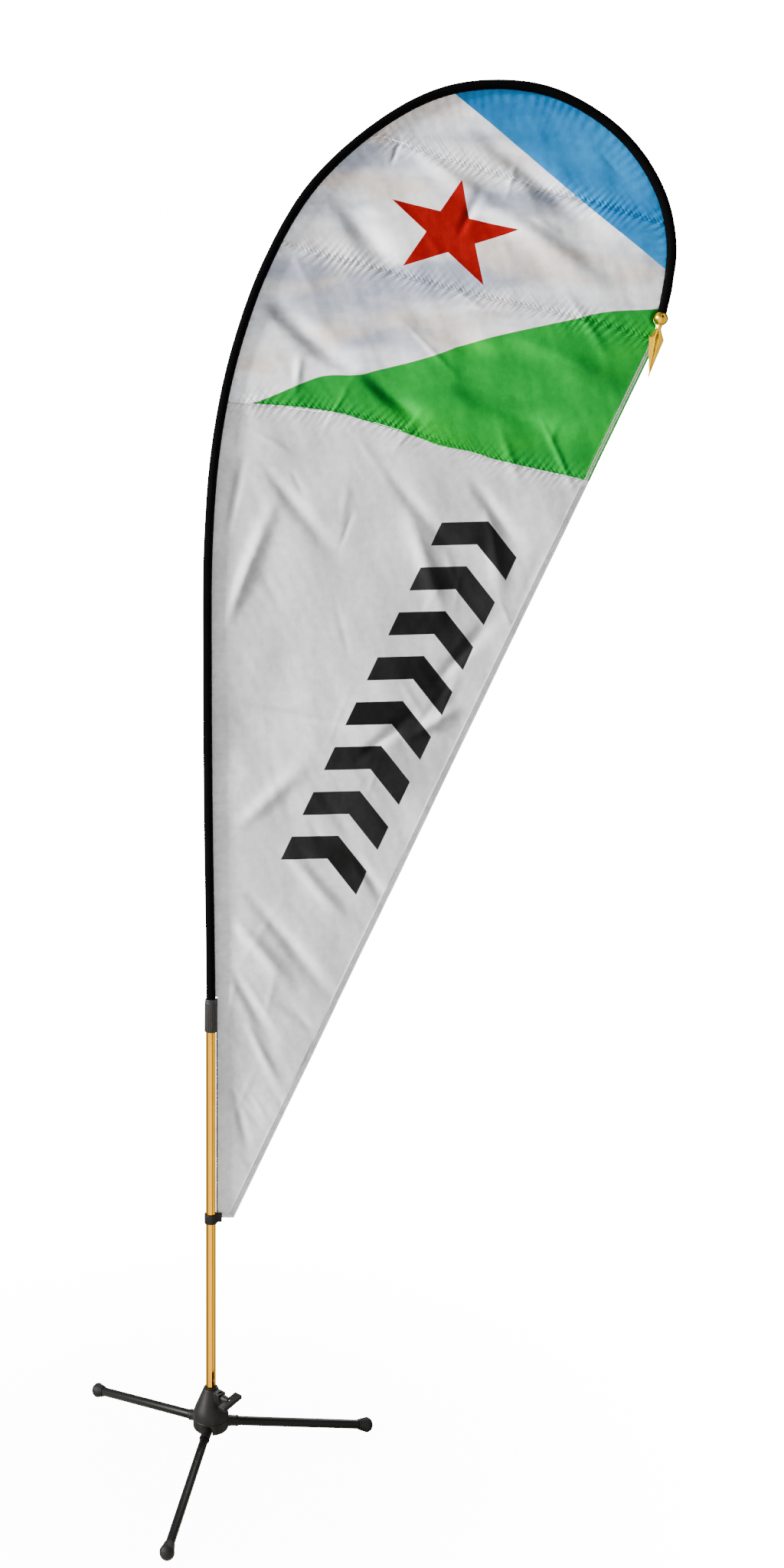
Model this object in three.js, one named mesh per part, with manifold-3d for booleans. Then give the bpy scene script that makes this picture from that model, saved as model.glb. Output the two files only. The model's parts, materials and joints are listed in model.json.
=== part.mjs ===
// A teardrop flag on a folding three-legged stand, in millimetres.
// Z points up, +X runs along the flag, and the origin lies on the floor under the pole's centre.

import * as THREE from 'three';
import { mergeVertices } from 'three/addons/utils/BufferGeometryUtils.js';
import Module from 'manifold-3d';

const wasm = await Module();
wasm.setup();

const degree = Math.PI / 180;

// Clearances
const restGap = 0.3;          // between two pieces that rest against each other
const turnGap = 0.4;          // round a piece that swings or turns

// Legs
const legCount = 3;
const firstLegAzimuth = 16.4;
const legSlope = 10.4;        // degrees below level, standing
const legReach = 368.5;       // from the pole's centre to the foot's centre, along the leg
const legRadius = 9.25;
const legWall = 1.2;
const footRadius = legRadius + 6.25;
const footFlat = 0.8;         // height worn off the ball of the foot, where it stands
const footNeckLength = 19;
const footNeckWall = 1.35;
const rootRadius = legRadius + 2.25; // the hinged end of a leg's root fitting
const rootEndRadius = legRadius + 1.25;
const rootLength = 34;        // from the hinge pin to the fitting's open end
const rootRimRadius = legRadius + 1.95;
const rootRimLength = 3;
const socketStart = 8;        // the leg tube's socket starts this far from the pin
const pinRadius = 3;
const pinGrip = 4.4;          // length of a pin held in the ring on each side
const heelHeight = 5.6;       // short enough to swing over the pin inside the ring's pocket
const heelWidth = 15;
const rootToCore = 0.35;      // from a standing leg's root fitting to the hub's core

// Pole
const poleRadius = 11;
const poleWall = 1.2;
const poleTop = 980;

// Hub
const hubHeight = 152;
const hubWall = 2.6;
const ringBottom = 64;
const ringHeight = 2 * rootRadius + 1.5;
const ringCornerRadius = 8;
const ringFloor = 3;
const coreWall = 2.7;         // the sleeve in the hub's middle that the bush turns in
const bushWall = 1.35;
const bushFloor = 2.2;
const bushRim = 2;
const bushSlit = 1.6;
const ringScrewRadius = 1.7;
const ringScrewHeadRadius = 3.2;
const ringScrewHeadHeight = 2.2;
const ringScrewLength = 28;
const ringScrewDepth = 5.5;   // how far the screw head sits up inside the ring
const screwBossRadius = 4.2;
const postShare = 125 / 316;  // the posts' height inside the housing, as a share of the housing's

// Clamp: a wing bolt in a captive nut presses a pad against the bush
const clampHeight = hubHeight - 12;
const clampBossWidth = 22;
const clampBossDepth = 20;    // upright size of the boss
const boltRadius = 4;
const nutAcrossFlats = 13;
const nutThickness = 6.2;
const padRadius = 6;
const padLength = 4;
const clampTravel = 3.75;
const knobLength = 56;
const knobDepth = 20;
const knobThickness = 9;
const knobArm = 23;           // from the boss's face to the middle of the knob
const knobTilt = 10;
const knobNeckRadius = 8;
const knobEdge = 2.2;

// Mast
const lowerRodRadius = 8;
const lowerRodWall = 1.3;
const rodInPole = 403;        // length of the lower rod below the sleeve
const rodJointHeight = 700;   // from the sleeve's foot to the joint between the rods
const bowRodRadius = 5;
const ferruleGrip = 60;
const ferruleShoulder = 6;
const topBushLength = 50;
const topBushFlange = 2.7;
const guideLength = 20;
const collarBottom = 926;
const collarLength = 71;
const collarRadius = poleRadius + 3.35;
const collarRibs = 20;
const collarRibDepth = 0.9;
const collarLip = 4;
const sleeveRadius = 10;
const sleeveWall = 1.2;
const sleeveBottom = 1003;
const bowTop = 2988;          // height of the mast's centre line at the top of the bow
const bowReach = 1003;        // furthest reach of the mast's centre line

// Flag
const clothThickness = 1.2;
const clothPlane = 5.6;       // the cloth hangs this far behind the mast's centre line
const hemWidth = 15;
const hemThickness = 1.6;
const tapeWidth = 2.4;
const tapeThickness = 2;
const flagBottom = 518.8;
const flagBottomWidth = 50.3;
const clipBottom = 510;
const clipHeight = 20;
const clipWall = 3;
const clipLugReach = poleRadius + 13;
const clipLugThickness = 8;
const clipScrewRadius = 2;
const clipScrewHeadRadius = 3.4;
const clipScrewHeadHeight = 1.9;

// Finial
const ballRadius = 15.5;
const neckRadius = 6.6;
const spearLength = 133;      // from the ball's centre to the tip
const shoulderReach = 45;
const shoulderHalfWidth = 16.6;
const bladeHalfThickness = 4;
const studRadius = 3.5;
const studLength = 7;
const grubRadius = 2.3;

// Sizes that follow from the ones above
const slope = legSlope * degree;
const poleBore = poleRadius - poleWall;
const bushBore = poleRadius + restGap;
const bushRadius = bushBore + bushWall;
const coreBore = bushRadius + restGap;
const coreRadius = coreBore + coreWall;
const pivotRadius = coreRadius + rootRadius + rootToCore; // the hinge pins' distance from the pole's centre
const hubRadius = pivotRadius + rootRadius;
const hubTopRadius = coreRadius + 0.85;
const ringScrewCircle = pivotRadius - 0.5;
const clampBossReach = coreRadius + 18.35;
const nutReach = clampBossReach - 6; // from the pole's centre to the middle of the nut
const knobReach = clampBossReach + knobArm;
const legAxisHeight = legReach * Math.sin(slope) + footRadius - footFlat;
const pivotHeight = legAxisHeight - pivotRadius * Math.tan(slope);
const footCentre = legReach - pivotRadius / Math.cos(slope);
const ringTop = ringBottom + ringHeight;
const housingBottom = ringTop + restGap;
const slotHalfWidth = rootRadius + turnGap;
const pinHalfLength = slotHalfWidth + pinGrip;
const bushBottom = ringBottom + ringFloor + restGap;
const plugBottom = bushBottom + bushFloor + restGap;
const plugHead = 2.5;
const poleBottom = plugBottom + plugHead + restGap;
const clampAzimuth = firstLegAzimuth - 180 / legCount;
const lowerRodBore = lowerRodRadius - lowerRodWall;
const sleeveBore = sleeveRadius - sleeveWall;
const collarTop = collarBottom + collarLength;

const group = new THREE.Group();

// ---------- tools for making closed shapes

function cleaned(geometry) {
  const bare = geometry.clone();
  bare.deleteAttribute('normal');
  bare.deleteAttribute('uv');
  const merged = mergeVertices(bare, 1e-4);
  const points = merged.attributes.position;
  const corner = [new THREE.Vector3(), new THREE.Vector3(), new THREE.Vector3()];
  const faces = [];
  let volume = 0;
  for (let i = 0; i < merged.index.count; i += 3) {
    const [a, b, c] = [0, 1, 2].map((k) => merged.index.getX(i + k));
    if (a === b || b === c || c === a) continue;
    [a, b, c].forEach((index, k) => corner[k].fromBufferAttribute(points, index));
    volume += corner[0].dot(corner[1].cross(corner[2]));
    faces.push([a, b, c]);
  }
  const outward = volume > 0 ? faces : faces.map(([a, b, c]) => [a, c, b]);
  return { points: new Float32Array(points.array), faces: new Uint32Array(outward.flat()) };
}

function toSolid(geometry) {
  const { points, faces } = cleaned(geometry);
  return new wasm.Manifold(new wasm.Mesh({ numProp: 3, vertProperties: points, triVerts: faces }));
}

function toGeometry(solid) {
  const mesh = solid.getMesh();
  const geometry = new THREE.BufferGeometry();
  geometry.setAttribute('position', new THREE.BufferAttribute(mesh.vertProperties, 3));
  geometry.setIndex(new THREE.BufferAttribute(mesh.triVerts, 1));
  geometry.computeVertexNormals();
  return geometry;
}

function cut(geometry, ...tools) {
  return toGeometry(tools.reduce((left, tool) => left.subtract(toSolid(tool)), toSolid(geometry)));
}

function join(geometry, ...others) {
  return toGeometry(others.reduce((all, other) => all.add(toSolid(other)), toSolid(geometry)));
}

function common(geometry, other) {
  return toGeometry(toSolid(geometry).intersect(toSolid(other)));
}

// A solid of revolution about Z from [radius, height] pairs; it closes on itself or on the axis.
function turned(profile, sides = 20) {
  const onAxis = profile[0][0] === 0 && profile.at(-1)[0] === 0;
  const points = (onAxis ? profile : [...profile, profile[0]]).map(([r, z]) => new THREE.Vector2(r, z));
  return new THREE.LatheGeometry(points, sides).rotateX(Math.PI / 2);
}

function pipe(outer, inner, bottom, top, sides = 20) {
  return turned([[outer, bottom], [outer, top], [inner, top], [inner, bottom]], sides);
}

function rod(radius, bottom, top, sides = 16) {
  return turned([[0, bottom], [radius, bottom], [radius, top], [0, top]], sides);
}

function block(x, y, z) {
  const [low, high] = [0, 1].map((k) => new THREE.Vector3(x[k], y[k], z[k]));
  const size = high.clone().sub(low);
  const centre = low.add(high).multiplyScalar(0.5);
  return new THREE.BoxGeometry(size.x, size.y, size.z).translate(centre.x, centre.y, centre.z);
}

// Turns a shape made along Z so that it runs along +X.
function alongX(geometry) {
  return geometry.rotateY(Math.PI / 2);
}

// A flat plate in the plane of the flag: [x, z] corners, a middle depth and a thickness.
function plate(corners, depth, thickness) {
  const shape = new THREE.Shape(corners.map(([x, z]) => new THREE.Vector2(x, z)));
  const flat = new THREE.ExtrudeGeometry(shape, { depth: thickness, bevelEnabled: false });
  return flat.rotateX(Math.PI / 2).translate(0, depth + thickness / 2, 0);
}

function circleShape(radius, sides) {
  const turns = Array.from({ length: sides }, (_, i) => i * 2 * Math.PI / sides);
  return turns.map((turn) => new THREE.Vector2(radius * Math.cos(turn), radius * Math.sin(turn)));
}

function finish(colour, roughness, metalness) {
  return () => new THREE.MeshStandardMaterial({ color: colour, roughness, metalness });
}

const blackPlastic = finish('#1b1c1e', 0.55, 0);
const blackSteel = finish('#151517', 0.45, 0.6);
const zincSteel = finish('#9a9da1', 0.35, 1);
const rubber = finish('#141414', 0.85, 0);
const gold = finish('#d8a33a', 0.22, 1);
const greyRod = finish('#3a3c40', 0.5, 0.2);
const blackCloth = finish('#080808', 0.9, 0);
const blueCloth = finish('#3c91c8', 0.7, 0);
const whiteCloth = finish('#e8e9ec', 0.7, 0);
const greenCloth = finish('#1ea537', 0.7, 0);
const greyCloth = finish('#d3d4d6', 0.7, 0);

function add(name, geometry, material, parent = group) {
  const mesh = new THREE.Mesh(geometry, material());
  mesh.name = name;
  parent.add(mesh);
  return mesh;
}

function turnedGroup(azimuth) {
  const holder = new THREE.Group();
  holder.rotation.z = azimuth * degree;
  group.add(holder);
  return holder;
}

function aroundLegs(makeTool) {
  const steps = Array.from({ length: legCount }, (_, i) => i * 360 / legCount);
  return steps.map((step) => makeTool().rotateZ((firstLegAzimuth + step) * degree));
}

// ---------- hub

// Outer outline of the cone-shaped housing, from its foot to its top edge.
function housingOutline(inset = 0) {
  const shoulder = housingBottom + 0.29 * (hubHeight - housingBottom);
  return [
    [hubRadius - inset, housingBottom],
    [hubRadius - 0.5 - inset, housingBottom + 7],
    [hubRadius - 3.4 - inset, shoulder],
    [hubTopRadius - inset, hubHeight - 2],
    [hubTopRadius - 1.2 - inset, hubHeight],
  ];
}

function clampTool(geometry) {
  return alongX(geometry).translate(0, 0, clampHeight).rotateZ(clampAzimuth * degree);
}

function makeHousing() {
  const outline = housingOutline();
  const filled = () => turned([[0, housingBottom], ...outline, [0, hubHeight]], 30);
  const roof = hubHeight - 12;
  const steps = housingOutline(hubWall).slice(0, 3);
  const roofRadius = hubTopRadius + 2.5;
  const inside = [[coreRadius, housingBottom - 1], [hubRadius - hubWall, housingBottom - 1], ...steps,
    [roofRadius, roof], [coreRadius, roof]];
  const postTops = housingBottom + (hubHeight - housingBottom) * postShare;
  const postBottom = pivotHeight + pinRadius + restGap;
  const posts = [-1, 1].flatMap((side) => aroundLegs(() => {
    const low = side < 0 ? -pinHalfLength : slotHalfWidth + restGap;
    const high = side < 0 ? -slotHalfWidth - restGap : pinHalfLength;
    return block([pivotRadius - pinRadius, pivotRadius + pinRadius], [low, high], [postBottom, postTops]);
  }));
  const bosses = aroundLegs(() => rod(screwBossRadius, housingBottom, postTops + 4)
    .translate(ringScrewCircle, 0, 0).rotateZ(Math.PI / legCount));
  const inCone = join(turned([[0, postBottom - 1], [hubRadius, postBottom - 1], ...outline, [0, hubHeight]], 30));
  const shell = cut(filled(), turned(inside, 30));
  const fittings = common(join(posts[0], ...posts.slice(1), ...bosses), inCone);
  const half = clampBossWidth / 2;
  const boss = block([coreBore, clampBossReach], [-half, half],
    [clampHeight - clampBossDepth / 2, clampHeight + clampBossDepth / 2]).rotateZ(clampAzimuth * degree);
  const screwHoles = aroundLegs(() => rod(ringScrewRadius + restGap, housingBottom - 1,
    ringBottom + ringScrewDepth + ringScrewHeadHeight + ringScrewLength + 1, 16)
    .translate(ringScrewCircle, 0, 0).rotateZ(Math.PI / legCount));
  const padEnd = coreBore + padLength + clampTravel + 2 * restGap;
  const padHole = clampTool(rod(padRadius + restGap, 0, padEnd));
  const boltHole = clampTool(rod(boltRadius + restGap, 0, clampBossReach + 1));
  return cut(join(shell, fittings, boss), rod(coreBore, housingBottom - 1, hubHeight + 1, 30),
    ...screwHoles, padHole, boltHole, nutPocket());
}

// The captive nut drops into this pocket from above.
function nutPocket() {
  const half = nutThickness / 2 + restGap;
  const across = nutAcrossFlats / 2 + restGap;
  const hexagon = new THREE.CylinderGeometry(across / Math.cos(30 * degree), across / Math.cos(30 * degree),
    2 * half, 6).rotateX(Math.PI / 2).rotateZ(30 * degree);
  const way = block([nutReach - half, nutReach + half], [-across, across],
    [clampHeight, clampHeight + clampBossDepth]).rotateZ(clampAzimuth * degree);
  return join(clampTool(hexagon.translate(0, 0, nutReach)), way);
}

function legSlot() {
  const low = ringBottom - 1;
  const farSide = hubRadius + 5;
  const below = block([coreRadius, farSide], [-slotHalfWidth, slotHalfWidth], [low, pivotHeight]);
  const arch = alongX(rod(slotHalfWidth, -2, 30)).rotateY(slope).translate(pivotRadius, 0, pivotHeight);
  const pocket = block([coreRadius, pivotRadius + 6], [-slotHalfWidth, slotHalfWidth], [low, ringTop + 1]);
  const grooveHalf = pinHalfLength + restGap;
  const grooveRadius = pinRadius + restGap;
  const grooveEnd = rod(grooveRadius, -grooveHalf, grooveHalf).rotateX(Math.PI / 2)
    .translate(pivotRadius, 0, pivotHeight);
  const groove = block([pivotRadius - grooveRadius, pivotRadius + grooveRadius],
    [-grooveHalf, grooveHalf], [pivotHeight, ringTop + 1]);
  return join(common(below, pipe(farSide + 9, coreRadius, low, ringTop + 2, 30)), arch,
    common(pocket, pipe(farSide + 9, coreRadius, low, ringTop + 2, 30)), grooveEnd, groove);
}

function makeLowerRing() {
  const corner = Array.from({ length: 6 }, (_, i) => {
    const turn = i * 90 * degree / 5;
    return [hubRadius - ringCornerRadius * (1 - Math.sin(turn)),
      ringBottom + ringCornerRadius * (1 - Math.cos(turn))];
  });
  const seat = ringBottom + ringFloor;
  const body = turned([[0, ringBottom], ...corner, [hubRadius, ringTop], [coreBore, ringTop],
    [coreBore, seat], [0, seat]], 30);
  const screwHole = () => join(rod(ringScrewHeadRadius + restGap, ringBottom - 1,
    ringBottom + ringScrewDepth + ringScrewHeadHeight + restGap, 16),
  rod(ringScrewRadius + restGap, ringBottom, ringTop + 1, 16))
    .translate(ringScrewCircle, 0, 0).rotateZ(Math.PI / legCount);
  return cut(body, ...aroundLegs(legSlot), ...aroundLegs(screwHole));
}

function makeRingScrew() {
  const headBottom = ringBottom + ringScrewDepth;
  const headTop = headBottom + ringScrewHeadHeight;
  const profile = [[0, headBottom], [ringScrewHeadRadius, headBottom], [ringScrewHeadRadius, headTop],
    [ringScrewRadius, headTop], [ringScrewRadius, headTop + ringScrewLength],
    [0, headTop + ringScrewLength]];
  return turned(profile, 12).translate(ringScrewCircle, 0, 0).rotateZ(Math.PI / legCount);
}

function makeBush() {
  const top = hubHeight + restGap + bushRim;
  const rimRadius = bushRadius + 1.8;
  const cup = turned([[0, bushBottom], [bushRadius, bushBottom], [bushRadius, top - bushRim],
    [rimRadius, top - bushRim], [rimRadius, top], [bushBore, top], [bushBore, bushBottom + bushFloor],
    [0, bushBottom + bushFloor]], 20);
  const slit = block([0, rimRadius + 1], [-bushSlit / 2, bushSlit / 2], [bushBottom + 15, top + 1]);
  return cut(cup, slit.rotateZ((clampAzimuth + 90) * degree));
}

function addHub() {
  add('hub_housing', makeHousing(), blackPlastic);
  add('hub_lower_ring', makeLowerRing(), blackPlastic);
  add('pole_bush', makeBush(), blackPlastic);
  for (let i = 0; i < legCount; i += 1) {
    const holder = turnedGroup(firstLegAzimuth + i * 360 / legCount);
    add(`ring_screw_${i + 1}`, makeRingScrew(), zincSteel, holder);
    const pin = rod(pinRadius, -pinHalfLength, pinHalfLength).rotateX(Math.PI / 2);
    add(`hinge_pin_${i + 1}`, pin, zincSteel, holder).position.set(pivotRadius, 0, pivotHeight);
  }
}

// ---------- legs, each made about its hinge pin with the leg leaning down along +X

function makeRoot() {
  const ball = new THREE.SphereGeometry(rootRadius, 14, 8);
  const rim = rootLength - rootRimLength;
  const cone = turned([[0, 0], [rootRadius, 0], [rootEndRadius, rim], [rootRimRadius, rim + 0.8],
    [rootRimRadius, rootLength], [0, rootLength]], 14);
  const leaning = alongX(cone).rotateY(slope);
  const heel = block([-rootRadius, 0], [-heelWidth / 2, heelWidth / 2], [0, heelHeight]);
  const socket = alongX(rod(legRadius + restGap, socketStart, rootLength + 1)).rotateY(slope);
  const pinHole = rod(pinRadius + restGap, -rootRadius - 1, rootRadius + 1).rotateX(Math.PI / 2);
  return cut(join(ball, leaning, heel), socket, pinHole);
}

function makeFoot() {
  const bore = legRadius + restGap;
  const neck = bore + footNeckWall;
  const dome = Array.from({ length: 8 }, (_, i) => {
    const turn = (-15 + i * 105 / 7) * degree;
    return [i === 7 ? 0 : footRadius * Math.cos(turn), footCentre + footRadius * Math.sin(turn)];
  });
  const start = footCentre - footNeckLength;
  const profile = [[0, footCentre - 2], [bore, footCentre - 2], [bore, start], [neck, start],
    [neck, start + 5], [neck + 1.2, start + 10], ...dome];
  const foot = alongX(turned(profile, 16)).rotateY(slope);
  const reach = footCentre + 2 * footRadius;
  const floor = block([0, reach], [-reach / 2, reach / 2], [-pivotHeight - footRadius, -pivotHeight]);
  return cut(foot, floor);
}

function addLegs() {
  for (let i = 0; i < legCount; i += 1) {
    const holder = turnedGroup(firstLegAzimuth + i * 360 / legCount);
    const tubeStart = socketStart + restGap;
    const tubeEnd = footCentre - 2 - restGap;
    const tube = alongX(pipe(legRadius, legRadius - legWall, tubeStart, tubeEnd, 24)).rotateY(slope);
    add(`leg_root_${i + 1}`, makeRoot(), blackPlastic, holder).position.set(pivotRadius, 0, pivotHeight);
    add(`leg_tube_${i + 1}`, tube, blackSteel, holder).position.set(pivotRadius, 0, pivotHeight);
    add(`leg_foot_${i + 1}`, makeFoot(), rubber, holder).position.set(pivotRadius, 0, pivotHeight);
  }
}

// ---------- clamp

function makeKnob() {
  const near = knobReach - knobDepth / 2;
  const outline = new THREE.Shape();
  const half = { x: knobDepth / 2 - knobEdge, y: knobLength / 2 - knobEdge };
  const round = Math.min(half.x, half.y) * 0.8;
  outline.moveTo(-half.x, -half.y + round);
  outline.quadraticCurveTo(-half.x, -half.y, -half.x + round, -half.y);
  outline.lineTo(half.x - round, -half.y);
  outline.quadraticCurveTo(half.x, -half.y, half.x, -half.y + round);
  outline.lineTo(half.x, half.y - round);
  outline.quadraticCurveTo(half.x, half.y, half.x - round, half.y);
  outline.lineTo(-half.x + round, half.y);
  outline.quadraticCurveTo(-half.x, half.y, -half.x, half.y - round);
  const wings = new THREE.ExtrudeGeometry(outline, { depth: knobThickness - 2 * knobEdge,
    bevelThickness: knobEdge, bevelSize: knobEdge, bevelSegments: 3, curveSegments: 5 });
  wings.translate(knobReach, 0, -knobThickness / 2 + knobEdge).rotateX(knobTilt * degree);
  const neckStart = clampBossReach + 2 * restGap;
  const neck = alongX(rod(knobNeckRadius, neckStart, near + knobDepth / 2));
  const hole = alongX(rod(boltRadius + restGap, neckStart - 1, knobReach + restGap));
  return cut(join(wings, neck), hole);
}

function addClamp() {
  const holder = turnedGroup(clampAzimuth);
  const padStart = bushRadius + restGap;
  const shankStart = padStart + padLength + restGap;
  const nutRadius = nutAcrossFlats / 2 / Math.cos(30 * degree);
  const hexagon = new THREE.CylinderGeometry(nutRadius, nutRadius, nutThickness, 6)
    .rotateX(Math.PI / 2).rotateZ(30 * degree);
  const nut = cut(hexagon, rod(boltRadius + restGap, -nutThickness, nutThickness));
  add('clamp_nut', alongX(nut), zincSteel, holder).position.set(nutReach, 0, clampHeight);
  const pad = alongX(rod(padRadius, padStart, padStart + padLength));
  add('clamp_pad', pad, blackPlastic, holder).position.z = clampHeight;
  const shank = alongX(rod(boltRadius, shankStart, knobReach));
  add('wing_bolt_shank', shank, zincSteel, holder).position.z = clampHeight;
  add('wing_bolt_knob', makeKnob(), blackPlastic, holder).position.z = clampHeight;
}

// ---------- pole and collar

function addPole() {
  add('lower_pole', pipe(poleRadius, poleBore, poleBottom, poleTop, 24), gold);
  const spigot = poleBore - restGap;
  const plug = turned([[0, plugBottom], [poleRadius, plugBottom], [poleRadius, plugBottom + plugHead],
    [spigot, plugBottom + plugHead], [spigot, plugBottom + plugHead + 12], [0, plugBottom + plugHead + 12]]);
  add('pole_bottom_plug', plug, blackPlastic);
  const inner = lowerRodRadius + restGap;
  const flange = poleTop + restGap;
  const bush = turned([[spigot, poleTop - topBushLength], [spigot, flange], [poleRadius, flange],
    [poleRadius, flange + topBushFlange], [inner, flange + topBushFlange], [inner, poleTop - topBushLength]]);
  add('pole_top_bush', bush, blackPlastic);
}

function makeCollar() {
  const valley = collarRadius - collarRibDepth;
  const pitch = 2 * Math.PI / collarRibs;
  const corners = Array.from({ length: collarRibs * 4 }, (_, i) => {
    const turn = (Math.floor(i / 4) + [0, 0.25, 0.5, 0.75][i % 4]) * pitch;
    const radius = i % 4 < 2 ? collarRadius - 0.15 : valley;
    return new THREE.Vector2(radius * Math.cos(turn), radius * Math.sin(turn));
  });
  const ribbed = new THREE.ExtrudeGeometry(new THREE.Shape(corners),
    { depth: collarLength - 2 * collarLip + 1, bevelEnabled: false }).translate(0, 0, collarBottom + collarLip - 0.5);
  const foot = turned([[0, collarBottom], [collarRadius - 0.6, collarBottom],
    [collarRadius, collarBottom + 0.6], [collarRadius, collarBottom + collarLip], [0, collarBottom + collarLip]]);
  const lip = turned([[0, collarTop - collarLip], [collarRadius - 0.5, collarTop - collarLip],
    [collarRadius - 0.5, collarTop - 1], [collarRadius - 1.5, collarTop], [0, collarTop]]);
  const step = poleTop + 2 * restGap + topBushFlange;
  const bore = turned([[0, collarBottom - 1], [poleRadius + restGap, collarBottom - 1],
    [poleRadius + restGap, step], [lowerRodRadius + restGap, step], [lowerRodRadius + restGap, collarTop + 1],
    [0, collarTop + 1]], 20);
  return cut(join(ribbed, foot, lip), bore);
}

// ---------- mast: a straight rod in the pole, then a bow that carries the sleeve

function onFlag(across, up) {
  return new THREE.Vector3(across * bowReach, 0, sleeveBottom + up * (bowTop - sleeveBottom));
}

// The bow's centre line, as shares of its reach and of its height above the sleeve's foot.
const bowShape = [
  [0, 0], [-0.001, 0.05], [-0.0055, 0.2], [-0.0075, 0.36], [-0.0055, 0.495], [0.0115, 0.604], [0.052, 0.705],
  [0.124, 0.806], [0.223, 0.89], [0.37, 0.957], [0.5, 0.991], [0.622, 1], [0.74, 0.9915],
  [0.855, 0.96], [0.93, 0.922], [0.982, 0.873], [1, 0.823], [0.993, 0.783], [0.9765, 0.743],
];
const bow = new THREE.CatmullRomCurve3(bowShape.map(([across, up]) => onFlag(across, up)));
const bowLength = bow.getLength();

// A stretch of the mast, measured in millimetres along it from the sleeve's foot.
class MastLine extends THREE.Curve {
  constructor(from, to) {
    super();
    this.from = from;
    this.to = to;
  }

  getPoint(share) {
    const along = this.from + (this.to - this.from) * share;
    if (along <= 0) return new THREE.Vector3(0, 0, sleeveBottom + along);
    return bow.getPointAt(Math.min(along / bowLength, 1));
  }
}

function bentRod(line, steps, radius, bore = 0, sides = 12) {
  const shape = new THREE.Shape(circleShape(radius, sides));
  if (bore > 0) shape.holes.push(new THREE.Path(circleShape(bore / Math.cos(Math.PI / sides), sides)));
  return new THREE.ExtrudeGeometry(shape, { steps, extrudePath: line, bevelEnabled: false });
}

const sleeveSteps = 50;
const sleeveEnd = bowLength - Math.sqrt(ballRadius ** 2 - sleeveBore ** 2) - restGap;
const sleeveLine = new MastLine(0, sleeveEnd);

// Places a holder on the mast, with its Z along the mast towards the bow's end.
function holderOnMast(along) {
  const holder = new THREE.Group();
  holder.position.copy(bow.getPointAt(along / bowLength));
  const ahead = bow.getTangentAt(along / bowLength);
  holder.rotation.y = Math.atan2(ahead.x, ahead.z);
  group.add(holder);
  return holder;
}

function addMast() {
  const lowerRod = bentRod(new MastLine(-rodInPole, rodJointHeight), 14, lowerRodRadius, lowerRodBore, 10);
  add('mast_lower_rod', lowerRod, greyRod);
  const rodFoot = sleeveBottom - rodInPole;
  const guide = turned([[0, rodFoot - 3.3], [poleBore - restGap, rodFoot - 3.3],
    [poleBore - restGap, rodFoot - restGap], [lowerRodBore - restGap, rodFoot - restGap],
    [lowerRodBore - restGap, rodFoot + guideLength], [0, rodFoot + guideLength]], 20);
  add('mast_rod_guide', guide, blackPlastic);
  const grip = lowerRodBore - restGap;
  const shoulderTop = restGap + ferruleShoulder;
  const ferrule = turned([[0, -ferruleGrip], [grip, -ferruleGrip], [grip, restGap], [lowerRodRadius, restGap],
    [lowerRodRadius, shoulderTop], [grip + 0.6, shoulderTop + 0.6], [grip + 0.6, shoulderTop + ferruleGrip],
    [bowRodRadius + restGap, shoulderTop + ferruleGrip], [bowRodRadius + restGap, shoulderTop],
    [0, shoulderTop]], 20);
  add('rod_ferrule', ferrule, zincSteel, holderOnMast(rodJointHeight));
  const bowRodStart = rodJointHeight + shoulderTop + restGap;
  add('bow_rod', bentRod(new MastLine(bowRodStart, bowLength), 50, bowRodRadius, 0, 6), greyRod);
  add('mast_sleeve', bentRod(sleeveLine, sleeveSteps, sleeveRadius, sleeveBore, 8), blackCloth);
}

// ---------- finial, made with its ball at the centre and its spear along +Z

function makeSpear() {
  const neckStart = Math.sqrt(ballRadius ** 2 - neckRadius ** 2) + restGap;
  const blade = turned([[0, shoulderReach - 18], [neckRadius, shoulderReach - 16],
    [shoulderHalfWidth, shoulderReach], [0, spearLength]], 4);
  blade.scale(1, bladeHalfThickness / shoulderHalfWidth, 1);
  const neck = rod(neckRadius, neckStart, shoulderReach - 12, 20);
  const taper = turned([[0, shoulderReach - 12.2], [neckRadius, shoulderReach - 12.2],
    [bladeHalfThickness, shoulderReach - 4], [0, shoulderReach]], 20);
  const stud = rod(studRadius, neckStart - studLength, neckStart + 1, 16);
  return join(blade, neck, taper, stud);
}

function makeBall() {
  const ball = new THREE.SphereGeometry(ballRadius, 20, 12);
  const socket = rod(bowRodRadius + restGap, -ballRadius - 1, restGap);
  const neckSeat = Math.sqrt(ballRadius ** 2 - neckRadius ** 2);
  const neckRoom = rod(neckRadius + restGap, neckSeat, ballRadius + 1);
  const studHole = rod(studRadius + restGap, neckSeat - studLength, ballRadius + 1);
  const grubHole = rod(grubRadius + restGap, 0, ballRadius + 1, 16).rotateX(Math.PI / 2).translate(0, 0, -4);
  const flatFront = block([-ballRadius, ballRadius], [-ballRadius - 1, -ballRadius + 0.8],
    [-ballRadius, ballRadius]);
  return cut(ball, socket, neckRoom, studHole, grubHole, flatFront);
}

function addFinial() {
  const holder = holderOnMast(bowLength);
  add('finial_ball', makeBall(), gold, holder);
  add('finial_spear', makeSpear(), gold, holder);
  const grub = rod(grubRadius, bowRodRadius + restGap, ballRadius - 3, 16).rotateX(Math.PI / 2);
  add('finial_grub_screw', grub, zincSteel, holder).position.z = -4;
}

// ---------- flag

// Points along the sleeve's inner side, at a distance from the mast's centre line.
function besideSleeve(distance) {
  const shares = Array.from({ length: sleeveSteps + 1 }, (_, i) => i / sleeveSteps);
  return shares.map((share) => {
    const point = sleeveLine.getPointAt(share);
    const ahead = sleeveLine.getTangentAt(share);
    return [point.x + ahead.z * distance, point.z - ahead.x * distance];
  });
}

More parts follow.
